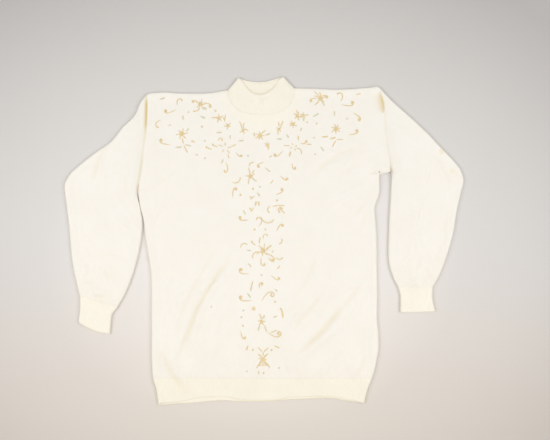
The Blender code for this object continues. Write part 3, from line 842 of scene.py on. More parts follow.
def sleeve(name, table, edge_side, gap):
    """A sleeve: rows from fold to fold, which start as the armhole's curve and straighten.

    The curve is how far the body's edge departs from the straight line at the same height.
    """
    rows, table_row, along = closer_rows(table, gap)
    lines = straight_lines(rows)
    seam = straight_lines(table[:1])[0]
    edge = side_edges(np.maximum(seam[:, 1], table[0, 1] + UNDERARM_CLEAR))[edge_side]
    outward = (-SEAM, SEAM)[edge_side]
    bow = (edge + outward - seam[:, 0]) * smooth_step(LINE_SHARES, 0, UNDERARM_STRAIGHT)
    fade = np.clip(1 - table_row / ARMHOLE_FADE, 0, 1)
    lines[:, :, 0] += fade[:, None] * bow
    upper = layer_places(lines, even_shares(SLEEVE_COLUMNS))
    lower = layer_places(lines, even_shares(SLEEVE_BACK_COLUMNS))
    drop = (seam_dip(along) + seam_dip(along[-1] - along))[:, None]
    warmth = CUFF_WARMTH * bell(along[-1] - along, CUFF_FADE)[:, None]
    return flat_tube(
        name,
        fine_knit,
        upper,
        lower,
        -along,
        drop,
        turned=edge_side == 1,
        shades=(warmth, warmth[:, :1]),
    )


knit_right_sleeve = sleeve("knit_right_sleeve", RIGHT_SLEEVE, 0, SLEEVE_GRID)
knit_left_sleeve = sleeve("knit_left_sleeve", LEFT_SLEEVE, 1, SLEEVE_GRID)
for knit_sleeve, sleeve_node in (
    (knit_right_sleeve, "right_sleeve"),
    (knit_left_sleeve, "left_sleeve"),
):
    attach(knit_sleeve, "root")
    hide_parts(sleeve_node)

# The cuffs. Rib-knitted tubes on the sleeves' ends. Their ribs run along the arm and stand out
# a little on both layers, and the free edge is rounded and drawn in by its last course.

RIB_PITCH = 3.8
RIB_RELIEF = 0.5
RIB_SAMPLES = 6  # points across each rib
RIB_RISE = 10.0  # over which a ribbed piece leaves its seam's gap
CUFF_GRID = 2.4
CUFF_LINES = (6.5, 13.5)  # how far above the free edge its two tucks lie
EDGE_ROLL = 1.0  # how far a free edge is rounded down
EDGE_ROLL_WIDTH = 1.6
EDGE_SHADE = 0.16  # how far a free edge goes towards the deep folds' shade
CUFF_LINE_WIDTH = 1.4
CUFF_LINE_DEPTH = 0.5
LOWER_RELIEF = 0.6  # of the ribs' depth, on the layers that lie on the table

RIGHT_CUFF = np.array([
    # inner_x, inner_y, outer_x, outer_y, bow (how far the row bulges down the arm)
    (-350.4, -158.4, -440.4, -132.0, 0.0),
    (-364.2, -178.8, -440.6, -158.4, 2.0),
    (-368.6, -221.5, -444.0, -193.2, 7.0),
])
LEFT_CUFF = np.array([
    # inner_x, inner_y, outer_x, outer_y, bow
    (320.6, -110.4, 403.9, -110.4, 0.0),
    (326.6, -134.4, 402.9, -132.6, 0.0),
    (326.2, -170.6, 410.2, -168.2, 1.0),
])

# The same yarn in one-by-one rib: closer, so a little warmer and darker between its ribs.
rib_knit = knit_finish("cream_rib_knit", "#F6F3E8", "#EEE7D5", wale=RIB_PITCH / 2, course=1.6)


def rib_furrow(share, ribs):
    """How deep the surface lies below the ribs' crests, for shares between two folds."""
    return RIB_RELIEF * (0.5 - 0.5 * np.cos(2 * np.pi * share * ribs))


def edge_roll(distance):
    """How far a free edge is rounded down, this far in from it."""
    return EDGE_ROLL * bell(distance, EDGE_ROLL_WIDTH)


def edge_shade(distance):
    """The shade of a free edge, this far in from it."""
    return EDGE_SHADE * bell(distance, EDGE_ROLL_WIDTH)


def rib_rise(along):
    """0 at a ribbed piece's seam, which stands off by the seam's gap, and 1 away from it."""
    return smooth_step(along, 0, RIB_RISE)[:, None, None]


def rib_shares(distance, reach_round=FOLD_ROUND):
    """Each point's share of the stretch between the folds, held at 0 and 1 beyond it."""
    width = distance[:, -1:]
    return np.clip((distance - reach_round) / (width - 2 * reach_round), 0, 1)


def cuff(name, table):
    """A cuff: rows from fold to fold, which bulge down the arm towards the free edge."""
    rows, _, along = closer_rows(table, CUFF_GRID)
    arm = (table[-1, :2] + table[-1, 2:4] - table[0, :2] - table[0, 2:4]) / 2
    down_arm = arm / np.hypot(*arm)
    share = LINE_SHARES[:, None]
    bulge = 4 * rows[:, None, 4:] * share * (1 - share) + SEAM * (1 - rib_rise(along))
    lines = straight_lines(rows) + bulge * down_arm
    ribs = round(line_width(lines)[0] / RIB_PITCH)
    upper = layer_places(lines, even_shares(ribs * RIB_SAMPLES - 1))
    lower = layer_places(lines, even_shares(ribs * RIB_SAMPLES - 1))
    furrow = rib_furrow(rib_shares(upper[2]), ribs)
    from_edge = along[-1] - along
    tucks = CUFF_LINE_DEPTH * sum(bell(from_edge - line, CUFF_LINE_WIDTH) for line in CUFF_LINES)
    drop = furrow + (seam_dip(along) + edge_roll(from_edge) + tucks)[:, None]
    lift = LOWER_RELIEF * furrow[:, -2:0:-1]
    rim = edge_shade(from_edge)[:, None]
    return flat_tube(
        name,
        rib_knit,
        upper,
        lower,
        -along,
        drop,
        lift,
        turned=table[0, 0] > 0,
        shades=(rim, rim),
    )


rib_right_cuff = cuff("rib_right_cuff", RIGHT_CUFF)
rib_left_cuff = cuff("rib_left_cuff", LEFT_CUFF)
for rib_cuff, cuff_node in ((rib_right_cuff, "right_cuff"), (rib_left_cuff, "left_cuff")):
    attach(rib_cuff, "root")
    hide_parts(cuff_node)

# The hem bands. Rib-knitted bands under both panels, drawn in at the sides. The front one lies a
# little higher up, so a strip of the back one's inside shows below it.

HEM_RIBS = 138
HEM_GRID = 4.0
HEM_BACK_LIFT = 1.5  # how far the back band stands off the table where it shows
UNDER_SHADE = 0.05  # of the back band's strip, which lies in the front one's shade
HEM_EDGES = np.array([
    # x, front_y, back_y along the free edges
    (-253.0, -388.8, -393.6),
    (-211.0, -386.4, -390.0),
    (-175.0, -380.2, -387.8),
    (-149.0, -374.8, -385.2),
    (-94.0, -373.7, -381.4),
    (-60.0, -380.0, -384.0),
    (-5.0, -382.8, -384.7),
    (24.0, -381.4, -383.4),
    (72.0, -373.6, -378.6),
    (154.0, -372.8, -376.4),
    (194.0, -379.6, -382.6),
    (240.0, -388.3, -389.4),
])


def hem_band(name, upper):
    """A hem band: ribbed columns from its seam down to its free edge, rounded at the sides."""
    edge_y = HEM_EDGES[:, 1 if upper else 2]
    seam_y = HEM_SEAM_Y - SEAM / 2
    down = edge_spacing(seam_y - edge_y.mean(), HEM_GRID)[::-1, None]
    bottom_right = side_edges(edge_y[0])[0]
    bottom_left = side_edges(edge_y[-1])[1]
    width = bottom_left - bottom_right
    stretch = width - 2 * FOLD_ROUND
    middle = FOLD_ROUND + even_shares(HEM_RIBS * RIB_SAMPLES - 1) * stretch
    distance = np.concatenate([FOLD_PLACES, middle, width - FOLD_PLACES[::-1]])
    free_y = smooth_line(bottom_right + distance, HEM_EDGES[:, 0], edge_y)
    y = seam_y + down * (free_y - seam_y)
    right, left = side_edges(y)
    x = right + (left - right) * distance / width
    reach = np.minimum(x - right, left - x)
    from_seam, from_edge = seam_y - y, y - free_y
    furrow = rib_furrow(rib_shares(np.broadcast_to(distance, x.shape)), HEM_RIBS)
    if upper:
        rise = np.maximum(upper_height(x, y) - FLAT_TOP, swell(reach))
        level = FLAT_TOP + rise - furrow - seam_dip(from_seam) - edge_roll(from_edge)
        middle_z = FOLD_MIDDLE + SEAM / 2
    else:
        front_y = smooth_line(x, HEM_EDGES[:, 0], HEM_EDGES[:, 1])
        level = LOWER_RELIEF * furrow + HEM_BACK_LIFT * smooth_step(front_y - y, -1, 5)
        middle_z = FOLD_MIDDLE - SEAM / 2
    z = middle_z + round_share(reach) * (level - middle_z)
    points = np.stack([x, y, z], axis=-1)
    across = (distance - FOLD_ROUND) * RIB_PITCH * HEM_RIBS / stretch + RIB_PITCH / 4
    stitches = np.stack([np.broadcast_to(across, x.shape), y], axis=-1)
    depth = fold_shade(x, y) + rim_shade(reach) if upper else UNDER_SHADE
    shade = edge_shade(from_edge) + depth
    return grid_piece(name, points, stitches, rib_knit, downward=not upper, shade=shade)


rib_front_hem = hem_band("rib_front_hem", True)
rib_back_hem = hem_band("rib_back_hem", False)
for rib_hem, hem_node in ((rib_front_hem, "front_hem_rib"), (rib_back_hem, "back_hem_rib")):
    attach(rib_hem, "root")
    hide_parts(hem_node)

# The collar. A rib-knitted mock turtleneck, sewn round the neckline. Its front edge dips, so the
# inside of its back shows above it, with the line where its edge is turned in and sewn.

COLLAR_RIBS = 48
COLLAR_GRID = 1.6
COLLAR_HEIGHT = 50.0
COLLAR_RELIEF = 0.5  # of the other ribs' depth
COLLAR_BACK_LINES = (0.44, 0.545, 0.65, 0.755, 0.86)  # where rows of sewing cross its inside
COLLAR_BACK_RIDGE = 0.6  # how high each of them stands
COLLAR_BACK_WIDTH = 0.03
COLLAR_BACK_LIFT = 2.4  # how far the back's free edge stands off the table
COLLAR_FOOT = 24.0  # how far up from its seam the neckline holds the folds flat
COLLAR_MOUTH_SHADE = 0.24  # on the inside, right behind the front's free edge
COLLAR_MOUTH_FADE = 3.6
COLLAR_ROW_SHADE = 0.07  # between the rows of sewing

COLLAR_TOP = np.array([
    # front_x, front_y, back_x, back_y along the free edge, from the wearer's right
    (-62.0, 390.8, -62.0, 390.8),
    (-55.5, 387.2, -56.0, 388.4),
    (-49.0, 379.2, -46.0, 384.8),
    (-41.0, 368.2, -34.0, 382.4),
    (-28.0, 356.6, -20.0, 380.8),
    (-17.0, 352.2, -8.0, 380.6),
    (-7.5, 351.2, 4.0, 381.6),
    (1.0, 352.8, 12.0, 383.4),
    (11.5, 358.2, 21.0, 385.9),
    (24.0, 369.4, 30.0, 388.6),
    (31.0, 379.4, 37.0, 390.9),
    (38.0, 388.4, 42.0, 392.6),
    (46.4, 393.8, 46.4, 393.8),
])


def moved_aside(line, distance):
    """The line again, this far to its left."""
    run = np.gradient(line, axis=0)
    run /= np.hypot(*run.T)[:, None]
    return line + distance * np.stack([-run[:, 1], run[:, 0]], axis=-1)


def collar():
    """The collar: rows from the neckline to the free edge, front and back."""
    lines = []
    for foot_column, edge_columns in ((1, slice(0, 2)), (2, slice(2, 4))):
        foot = moved_aside(chord_line(NECKLINES[:, [0, foot_column]], LINE_SHARES), SEAM)
        edge = chord_line(COLLAR_TOP[:, edge_columns], LINE_SHARES)
        rise = edge_spacing(COLLAR_HEIGHT, COLLAR_GRID)[:, None, None]
        lines.append(foot + rise * (edge - foot))
    along = rise[:, 0, 0] * COLLAR_HEIGHT
    upper = layer_places(lines[0], even_shares(COLLAR_RIBS * RIB_SAMPLES - 1))
    lower = layer_places(lines[1], even_shares(COLLAR_RIBS * RIB_SAMPLES - 1))
    furrow = COLLAR_RELIEF * rib_furrow(rib_shares(upper[2]), COLLAR_RIBS)
    from_edge = (along[-1] - along)[:, None]
    drop = furrow + seam_dip(along)[:, None] + edge_roll(from_edge)
    ridges = sum(bell(rise[:, 0] - at, COLLAR_BACK_WIDTH) for at in COLLAR_BACK_LINES)
    raised = COLLAR_BACK_LIFT * smooth_step(rise[:, 0], 0.45, 1.0)
    lift = LOWER_RELIEF * furrow[:, -2:0:-1] + raised + COLLAR_BACK_RIDGE * ridges
    low_x, low_y = lower[0][:, -2:0:-1], lower[1][:, -2:0:-1]
    behind = np.maximum(low_y - smooth_line(low_x, COLLAR_TOP[:, 0], COLLAR_TOP[:, 1]), 0)
    mouth = COLLAR_MOUTH_SHADE * bell(behind, COLLAR_MOUTH_FADE)
    return flat_tube(
        "rib_collar",
        rib_knit,
        upper,
        lower,
        along,
        drop,
        lift,
        held_up=smooth_step(along, COLLAR_FOOT, 0)[:, None],
        shades=(edge_shade(from_edge), mouth + COLLAR_ROW_SHADE * (1 - ridges)),
    )


rib_collar = collar()
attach(rib_collar, "root")
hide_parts("collar")

# The embroidery, sewn by machine through the front in two threads: a satin gold and a pale
# champagne. Little stars, curled tendrils, dashes and leaves are strewn over the yoke and run
# down the middle. It is charted on squared paper, a square being 2.4 mm: column 0 lies
# just beside the middle line and row 0 at the shoulders, and each stroke is drawn from its
# tail to its head as a line that turns evenly or ever more tightly.

CHART_SQUARE = 2.4
CHART_LEFT = -7.2
CHART_TOP = 360.0
STROKE_POINTS = 30
STROKE_SIDES = 8
THREAD_SINK = 0.25  # how deep a stroke's middle lies in the knit, in stroke heights
EMBROIDERY_SEED = 5
KNOT_REACH = 2.2
CURLED_KINDS = ("curl", "scroll", "crook")  # their heads end in a knot
STAR_SHORT = 0.45  # the reach of the short rays between a star's long ones
THREAD_PITCH = 0.55  # between the threads of satin stitch
THREAD_SLANT = 0.35
SIDE_LENGTH = 1.2  # of one side of a stroke's ring, on its UV map

STROKE_KINDS = {
    # how far it turns in degrees, how late it turns, width, height, head width
    "ray": (24, 1.0, 2.2, 1.0, 1.0),
    "knot": (0, 1.0, 4.8, 1.4, 1.0),
    "leaf": (26, 1.0, 3.3, 1.1, 1.0),
    "dash": (14, 1.0, 2.4, 1.0, 1.0),
    "arc": (135, 1.2, 2.4, 1.0, 1.2),
    "hook": (215, 1.9, 2.4, 1.0, 1.7),
    "crook": (235, 4.0, 2.4, 1.0, 1.7),
    "curl": (340, 4.6, 2.4, 1.0, 1.9),
    "scroll": (420, 3.2, 2.4, 1.0, 1.8),
}

GOLD_STROKES = (
    # kind, tail column and row, head column and row, side: 1 turns left, -1 turns right
    # Over the wearer's right.
    ("hook", -83, 15, -79, 11, -1),
    ("curl", -84, 18.5, -94.5, 20.5, -1),
    ("curl", -58, 12, -51, 15.5, -1),
    ("curl", -62, 12, -67.5, 11, 1),
    ("arc", -61, 15, -68, 20, -1),
    ("dash", -43, 27.5, -49.5, 27, 1),
    ("dash", -36.5, 31, -35.5, 24, 1),
    ("dash", -35.5, 31, -38, 26.5, 1),
    ("hook", -99.5, 29.5, -101.5, 36.5, 1),
    ("dash", -78.5, 47, -77, 53, 1),
    ("dash", -77, 54, -73, 62, 1),
    ("curl", -90, 54, -99, 50, -1),
    ("leaf", -70, 50, -66, 51, 1),
    ("hook", -43, 50.5, -39.5, 50, -1),
    ("dash", -30, 56, -25, 54, -1),
    ("dash", -33, 63, -31.5, 67.5, 1),
    ("dash", -54, 56.5, -49, 58.5, 1),
    ("dash", -48, 55, -43.5, 56, -1),
    ("curl", -25, 61.5, -20, 65, 1),
    ("crook", -35, 71, -36.5, 80, -1),
    ("dash", -18.5, 39, -21.5, 30.5, 1),
    ("dash", -17.5, 38.5, -17, 32, -1),
    ("arc", -17, 40, -13, 40.5, -1),
    # Under the collar.
    ("dash", 1, 42.5, 4.5, 39.5, 1),
    ("leaf", 7.5, 59, 6.4, 54, 1),
    ("curl", 3.5, 71, -2.5, 75.5, 1),
    ("arc", -11.5, 76, -7, 72, -1),
    # Over the wearer's left.
    ("dash", 58.5, 6.5, 52.5, 0.5, 1),
    ("curl", 57, 7.5, 50, 10, 1),
    ("curl", 60.5, 5, 65.5, 6.5, -1),
    ("dash", 58, 11, 53.5, 14.5, 1),
    ("dash", 60, 10, 63.5, 15.5, -1),
    ("hook", 79, 11, 76, 4.5, 1),
    ("curl", 79.5, 14, 90.5, 12.5, 1),
    ("dash", 94.5, 4, 99.5, 3, 1),
    ("dash", 36, 23.5, 35.5, 19, 1),
    ("dash", 43.5, 24.5, 47.5, 24, 1),
    ("leaf", 42.5, 27, 43, 30.5, 1),
    ("curl", 91.5, 22, 97.5, 28.5, -1),
    ("leaf", 60.5, 46, 67, 45.5, 1),
    ("leaf", 68.5, 48, 74.5, 46.5, 1),
    ("dash", 82.5, 49, 75.5, 49, 1),
    ("dash", 75, 49.5, 71, 56.5, 1),
    ("curl", 87, 44, 95, 40.5, 1),
    ("dash", 39.5, 52.5, 44, 53, 1),
    ("dash", 45, 53.5, 50.5, 53.5, 1),
    ("leaf", 37, 50, 37, 45, 1),
    ("leaf", 42.5, 53, 46.5, 50, 1),
    ("dash", 29, 55, 22.5, 55, 1),
    ("leaf", 30, 60.5, 28.5, 66, 1),
    ("arc", 35, 57.5, 40, 63.5, -1),
    ("dash", 19, 36.5, 22, 30, 1),
    ("dash", 18, 36, 17.5, 31, 1),
    ("dash", 17.5, 41, 17, 44, 1),
    ("curl", 22.5, 59.5, 14.5, 64, -1),
    ("crook", 31, 72, 34, 77, 1),
    # Down the middle.
    ("dash", -11, 83, -12.5, 77, 1),
    ("dash", -9, 83, -6.5, 79, -1),
    ("arc", -29, 91, -21, 86, 1),
    ("curl", -28, 107, -25.5, 98.5, -1),
    ("dash", 9, 93, 12, 89.5, 1),
    ("curl", 19, 85, 25.5, 88, 1),
    ("curl", 14.5, 104, 20.5, 99, 1),
    ("arc", -11.5, 105, -7, 105, 1),
    ("dash", -11.5, 116.5, -9.5, 119.5, 1),
    ("dash", -7, 116.5, -9.5, 119.5, -1),
    ("leaf", -6, 115, -5, 110.5, 1),
    ("leaf", -1.5, 115, -2.5, 110.5, -1),
    ("dash", 11.5, 115.5, 16.5, 114.5, 1),
    ("dash", 16.5, 114.5, 23.5, 115, -1),
    ("dash", 17.5, 116, 24, 122.5, 1),
    ("leaf", 17, 117, 19, 122, 1),
    ("leaf", 18.5, 115.5, 22, 118, 1),
    ("arc", 9.5, 115, 9, 122, 1),
    ("curl", -12, 129, -20.5, 127, -1),
    ("hook", -2.5, 135.5, -4.5, 129, 1),
    ("arc", 0, 125, 13, 128, 1),
    ("curl", 15.5, 140.5, 21, 134.5, -1),
    ("hook", 2.5, 148.5, 6, 145.5, -1),
    ("leaf", -0.5, 146, -1.5, 152.5, 1),
    ("arc", 20, 147, 18, 152.5, -1),
    ("arc", -20.5, 157, -13.5, 154, -1),
    ("dash", -8.5, 152, -5.5, 154, 1),
    ("leaf", 4.5, 158, 10.5, 154, 1),
    ("leaf", 7.5, 167, 12, 170.5, 1),
    ("arc", 0, 162, -8, 167.5, 1),
    ("curl", 4, 161.5, 11.5, 168.5, -1),
    ("arc", 14.5, 165.5, 22, 166, 1),
    ("crook", 0, 166, 3.5, 173, 1),
    ("dash", 16, 178, 19, 174.5, 1),
    ("scroll", -11.5, 182.5, -20.5, 179, -1),
    ("curl", 10, 184, 17.5, 187.5, 1),
    ("leaf", -7.5, 189.5, -10, 200, 1),
    ("hook", -0.5, 197.5, 2, 193, -1),
    ("curl", -9, 209.5, -20, 206.5, -1),
    ("scroll", 0.5, 210.5, 10.5, 203, -1),
    ("leaf", 21.7, 227.5, 20.2, 218, 1),
    ("dash", 0, 227.5, -1.5, 222.5, 1),
    ("dash", 3.5, 233.5, 6, 240.5, 1),
    ("scroll", 6, 240.5, 17.5, 243, 1),
    ("dash", 9, 241.5, 16, 238.5, 1),
    ("curl", -20.5, 239.5, -16.5, 246.5, 1),
    ("leaf", -12.5, 254, -14.5, 259, 1),
    ("leaf", 13, 254.5, 18.5, 257, -1),
    ("dash", 2, 264.5, 2, 261, 1),
    ("dash", 1.5, 261, -3, 256, 1),
    ("dash", 2.5, 261, 7.5, 256.5, -1),
    ("leaf", 2, 267.5, -3, 262.5, 1),
    ("leaf", 2, 267.5, 7.2, 262.5, -1),
    ("leaf", 2, 268, -3, 273.8, -1),
    ("leaf", 2, 268, 7.6, 273.6, 1),
    ("dash", 2, 270.5, 2, 274.5, 1),
    ("arc", 1.5, 274.5, -4, 277, 1),
    ("arc", 2.5, 274.5, 8.5, 276.5, -1),
)
GOLD_STARS = (
    # column, row, reach in squares, rays, turned by degrees, how far out the rays start
    (-60.5, 13.5, 6.0, 5, 10, 0.0),
    (-42, 27.5, 4.5, 5, 30, 0.0),
    (-33, 35, 3.5, 5, 50, 0.0),
    (-79, 43, 6.0, 6, 15, 0.0),
    (-35.5, 57, 6.5, 5, 20, 0.35),
    (-18, 40, 3.5, 4, 35, 0.0),
    (-1, 45, 4.8, 7, 0, 0.0),
    (6.4, 54, 2.8, 5, 20, 0.0),
    (59.5, 7.5, 6.0, 5, 25, 0.0),
    (36.5, 25.5, 4.5, 5, 5, 0.0),
    (31.5, 33.5, 4.0, 6, 40, 0.0),
    (41.8, 25.0, 3.4, 5, 10, 0.0),
    (75, 38, 5.5, 7, 10, 0.0),
    (32.5, 56, 4.0, 4, 20, 0.35),
    (18, 38.5, 3.5, 4, 50, 0.0),
    (-10.5, 85.5, 5.0, 5, 35, 0.0),
    (2, 159.5, 6.5, 6, 20, 0.0),
    (-7.5, 217.5, 2.8, 5, 0, 0.0),
    (0.5, 230.5, 4.5, 5, 15, 0.0),
    (2, 267.7, 5.0, 6, 0, 0.0),
)
GOLD_KNOTS = (
    # column, row: a small ball of satin stitches
    (-45.3, 20.2), (-59, 36), (-54.5, 56.5), (-48, 54), (42.5, 24), (45, 50.5), (-8, 98),
    (-20.5, 104), (16, 109.5), (-6.5, 138.5), (4.5, 138.5), (-9, 151), (14, 210.5),
    (-19.5, 226), (-18, 234.5), (-8, 258.5), (10.5, 258.5), (2.5, 281.5), (-9.5, 107.5),
    (-9.2, 119.4), (0.8, 193.5), (19.6, 217.8),
)
PALE_LEAVES = (
    # tail column and row, head column and row
    (-101.5, 8.5, -95.5, 7), (-57, 16, -54, 19), (-78, 24.5, -77, 29), (-60.5, 25, -55.5, 27.5),
    (-75, 40.5, -72, 37.5), (-85.5, 56.5, -79, 56), (-75.5, 53.5, -69.5, 55),
    (-30.5, 44, -30.5, 48.5), (-44.5, 41.5, -39, 41.5), (-40, 72.5, -37.5, 68.5),
    (-22.5, 50, -17, 49.5), (-6.5, 41.5, -6.5, 46), (4.5, 44.5, 9, 42.5), (4.5, 76.5, 9.5, 81),
    (73.5, 20, 73.5, 25), (51.5, 26, 57.5, 22.5), (39, 40.5, 40.5, 37), (59.5, 55.5, 63, 60.5),
    (15.5, 48, 21, 48), (25.5, 43.5, 28, 47), (11, 65, 8.5, 66.5), (-8.5, 87.5, -4, 90.5),
    (-11.5, 88, -12.5, 93.5), (-3.5, 101.5, -1, 105), (-17.5, 119, -15, 123.5),
    (-14.5, 159, -10, 159.5), (-12.5, 172, -9.5, 176), (-13.5, 201.5, -10, 206.5),
    (14, 198, 16.5, 200), (12, 226, 16, 224.5), (2, 227.5, 3.5, 223.5), (-1, 234, -2.5, 239.5),
    (-2, 279, -2, 283),
)
PEARLS = (
    # column, row
    (-72.5, 21.5), (-91, 34.5), (-56, 50), (-64, 64), (-56, 67.5), (-13, 65), (46, 31.5),
    (55.5, 33), (86, 28), (53, 47), (54, 63.5), (-1, 96), (11.5, 160.5), (0.5, 184),
    (-17.5, 219), (-14, 280), (18, 276.5),
)


def thread_finish(name, bright, dull, metallic, roughness):
    """Satin stitch: fine threads laid across each stroke, which catch the light in bands.

    The UV map runs round a stroke and along it in millimetres. Along it the height repeats as a
    sine once a thread, slanted by the way round, and a fine noise breaks the bands up.
    """
    thread, tree, _ = new_finish(name)
    place = add(tree, "ShaderNodeUVMap", uv_map="thread").outputs[0]
    around, along, _ = add(tree, "ShaderNodeSeparateXYZ", {0: place}).outputs
    slanted = maths(tree, "MULTIPLY_ADD", around, THREAD_SLANT, along)
    band = maths(tree, "SINE", maths(tree, "MULTIPLY", slanted, FULL_TURN / THREAD_PITCH))
    cloud = noise(tree, place, 0.9, 3.0)
    set_surface(tree, {
        "Base Color": mixed(tree, cloud, bright, dull),
        "Roughness": remapped(tree, cloud, 0.3, 0.7, roughness, roughness + 0.14),
        "Normal": bumped(tree, 0.5, 0.12, band),
        "Metallic": metallic,
    })
    return thread


# Rayon and metallised thread: a warm gold with a satin sheen that looks brown in its shadows.
gold_thread = thread_finish("satin_gold_thread", "#F1DFB2", "#D9BF88", 0.1, 0.42)
# The same satin in a pale champagne, which hardly stands out against the knit.
pale_thread = thread_finish("satin_pale_thread", "#E6E0C6", "#D3CDB0", 0.05, 0.42)


def front_surface(x, y):
    """The front's outer height at any place, with the swell under the shoulders."""
    top_points = np.concatenate([RIGHT_SHOULDER, NECKLINES[:, :2], LEFT_SHOULDER])
    top_y = smooth_line(x, top_points[:, 0], top_points[:, 1])
    return front_height(x, y, body_edges(x, y, x, top_y))


def chart_place(column, row):
    """A place on the chart as a complex number, x + iy in millimetres."""
    return CHART_LEFT + CHART_SQUARE * column + 1j * (CHART_TOP - CHART_SQUARE * row)


def turning_path(sweep, lateness):
    """A path from 0 to 1 whose heading turns by sweep·t^lateness, for many strokes at once.

    The heading's unit vectors are summed along t, and the path is then scaled and turned so
    that it ends at 1.
    """
    t = np.linspace(0, 1, STROKE_POINTS)
    heading = np.exp(1j * sweep[:, None] * t ** lateness[:, None])
    steps = (heading[:, 1:] + heading[:, :-1]) / 2
    path = np.concatenate([np.zeros((len(sweep), 1)), np.cumsum(steps, axis=1)], axis=1)
    return path / path[:, -1:]


def oval_rings(line, run, half, thick, middle_z, sides):
    """Rings round lines of points, [tube, ring, side, xyz]: flat ovals square to the run, half
    as wide as half says to each side, and as thick as thick says from below to above."""
    turn = np.linspace(0, FULL_TURN, sides, endpoint=False)
    ring = line[..., None] + (1j * run * half)[..., None] * np.cos(turn)
    z = middle_z[..., None] + 0.5 * thick[..., None] * np.sin(turn)
    return np.stack([ring.real, ring.imag, z], axis=-1)


def sewn_strokes(name, tails, heads, sides, kinds, material, seed):
    """Padded strokes of satin stitch, joined as one piece: flat ovals along turning paths.

    Each is thin at its tail, full from a third on and rounder at its head, by the kind's own
    widths, and lies on the front's surface. The ends close in a small cap.
    """
    draw = np.random.default_rng(seed)
    sweep, lateness, width, height, head = np.array([STROKE_KINDS[kind] for kind in kinds]).T
    sweep = np.radians(sweep * draw.uniform(0.9, 1.1, len(sweep)))
    path = turning_path(sweep, lateness)
    path = np.where(sides[:, None] > 0, path, np.conj(path))
    line = tails[:, None] + path * (heads - tails)[:, None]
    t = np.linspace(0, 1, STROKE_POINTS)
    run = np.gradient(line, axis=1)
    run /= np.abs(run)
    ends = np.sqrt(np.clip(1 - np.abs(2 * t - 1) ** 6, 0.03, 1))
    grow = 0.5 + 0.5 * smooth_step(t, 0, 0.35)
    headed = 1 + (head[:, None] - 1) * smooth_step(t, 0.72, 0.93)
    half = 0.5 * (width * draw.uniform(0.88, 1.12, len(width)))[:, None] * ends * grow * headed
    thick = height[:, None] * ends * (0.7 + 0.3 * grow)
    middle_z = front_surface(line.real, line.imag) + (0.5 - THREAD_SINK) * thick
    rings = oval_rings(line, run, half, thick, middle_z, STROKE_SIDES)
    reach = np.cumsum(np.abs(np.diff(line, axis=1)), axis=1)
    along = np.concatenate([np.zeros((len(line), 1)), reach], axis=1)
    return tube_set(name, rings, along, material)


def tube_set(name, points, along, material):
    """Many closed tubes as one mesh, from points [tube, ring, side, xyz] in millimetres."""
    tubes, rings, sides = points.shape[:3]
    tube, ring, side = np.meshgrid(
        np.arange(tubes), np.arange(rings - 1), np.arange(sides), indexing="ij"
    )
    next_side = (side + 1) % sides
    corners = ((ring, side), (ring, next_side), (ring + 1, next_side), (ring + 1, side))
    quads = np.stack([(tube * rings + r) * sides + s for r, s in corners], axis=-1).reshape(-1, 4)
    first = np.arange(tubes)[:, None] * rings * sides + np.arange(sides)
    last = first[:, ::-1] + (rings - 1) * sides
    mesh = bpy.data.meshes.new(name)
    faces = quads.tolist() + first[:, ::-1].tolist() + last[:, ::-1].tolist()
    mesh.from_pydata((points.reshape(-1, 3) * MM).tolist(), [], faces)
    around = np.stack([side + step for step in (0, 1, 1, 0)], axis=-1) * SIDE_LENGTH
    lengths = np.stack([along[tube, ring + step] for step in (0, 0, 1, 1)], axis=-1)
    caps = np.zeros((2 * tubes * sides, 2))
    places = np.concatenate([np.stack([around, lengths], axis=-1).reshape(-1, 2), caps])
    mesh.uv_layers.new(name="thread").data.foreach_set("uv", places.astype(np.float32).ravel())
    return show(name, mesh, material)


def star_rays(stars, seed):
    """The rays of all stars as tails and heads, evenly round with a little unevenness."""
    draw = np.random.default_rng(seed)
    tails, heads = [], []
    for column, row, reach, rays, turned, start in stars:
        angle = np.radians(turned + 360 * (np.arange(rays) + draw.normal(0, 0.09, rays)) / rays)
        ray = np.exp(1j * angle) * reach * CHART_SQUARE * draw.uniform(0.8, 1.15, rays)
        centre = chart_place(column, row)
        tails.append(centre + ray * (start if start else 0.06))
        heads.append(centre + ray)
        if not start:
            short = ray * STAR_SHORT * np.exp(1j * np.pi / rays)
            tails.append(centre + short * 0.1)
            heads.append(centre + short)
    return np.concatenate(tails), np.concatenate(heads)


gold_kinds = [stroke[0] for stroke in GOLD_STROKES]
gold_chart = np.array([stroke[1:] for stroke in GOLD_STROKES], float)
gold_from, gold_to = chart_place(*gold_chart.T[:2]), chart_place(*gold_chart.T[2:4])
ray_tails, ray_heads = star_rays(GOLD_STARS, EMBROIDERY_SEED)
star_chart = np.array([star[:2] for star in GOLD_STARS if star[5] == 0], float)
curled = np.array([kind in CURLED_KINDS for kind in gold_kinds])
knot_places = np.concatenate([
    chart_place(*np.array(GOLD_KNOTS, float).T), chart_place(*star_chart.T), gold_to[curled]
])
gold_tails = np.concatenate([gold_from, ray_tails, knot_places - KNOT_REACH])
gold_heads = np.concatenate([gold_to, ray_heads, knot_places + KNOT_REACH])
gold_sides = np.concatenate([gold_chart[:, 4], np.ones(len(ray_tails) + len(knot_places))])
gold_kinds += ["ray"] * len(ray_tails) + ["knot"] * len(knot_places)
gold_embroidery = sewn_strokes(
    "gold_embroidery", gold_tails, gold_heads, gold_sides, gold_kinds, gold_thread, EMBROIDERY_SEED
)
pale_chart = np.array(PALE_LEAVES, float)
pale_embroidery = sewn_strokes(
    "pale_embroidery",
    chart_place(pale_chart[:, 0], pale_chart[:, 1]),
    chart_place(pale_chart[:, 2], pale_chart[:, 3]),
    np.ones(len(pale_chart)),
    ["leaf"] * len(pale_chart),
    pale_thread,
    EMBROIDERY_SEED + 1,
)
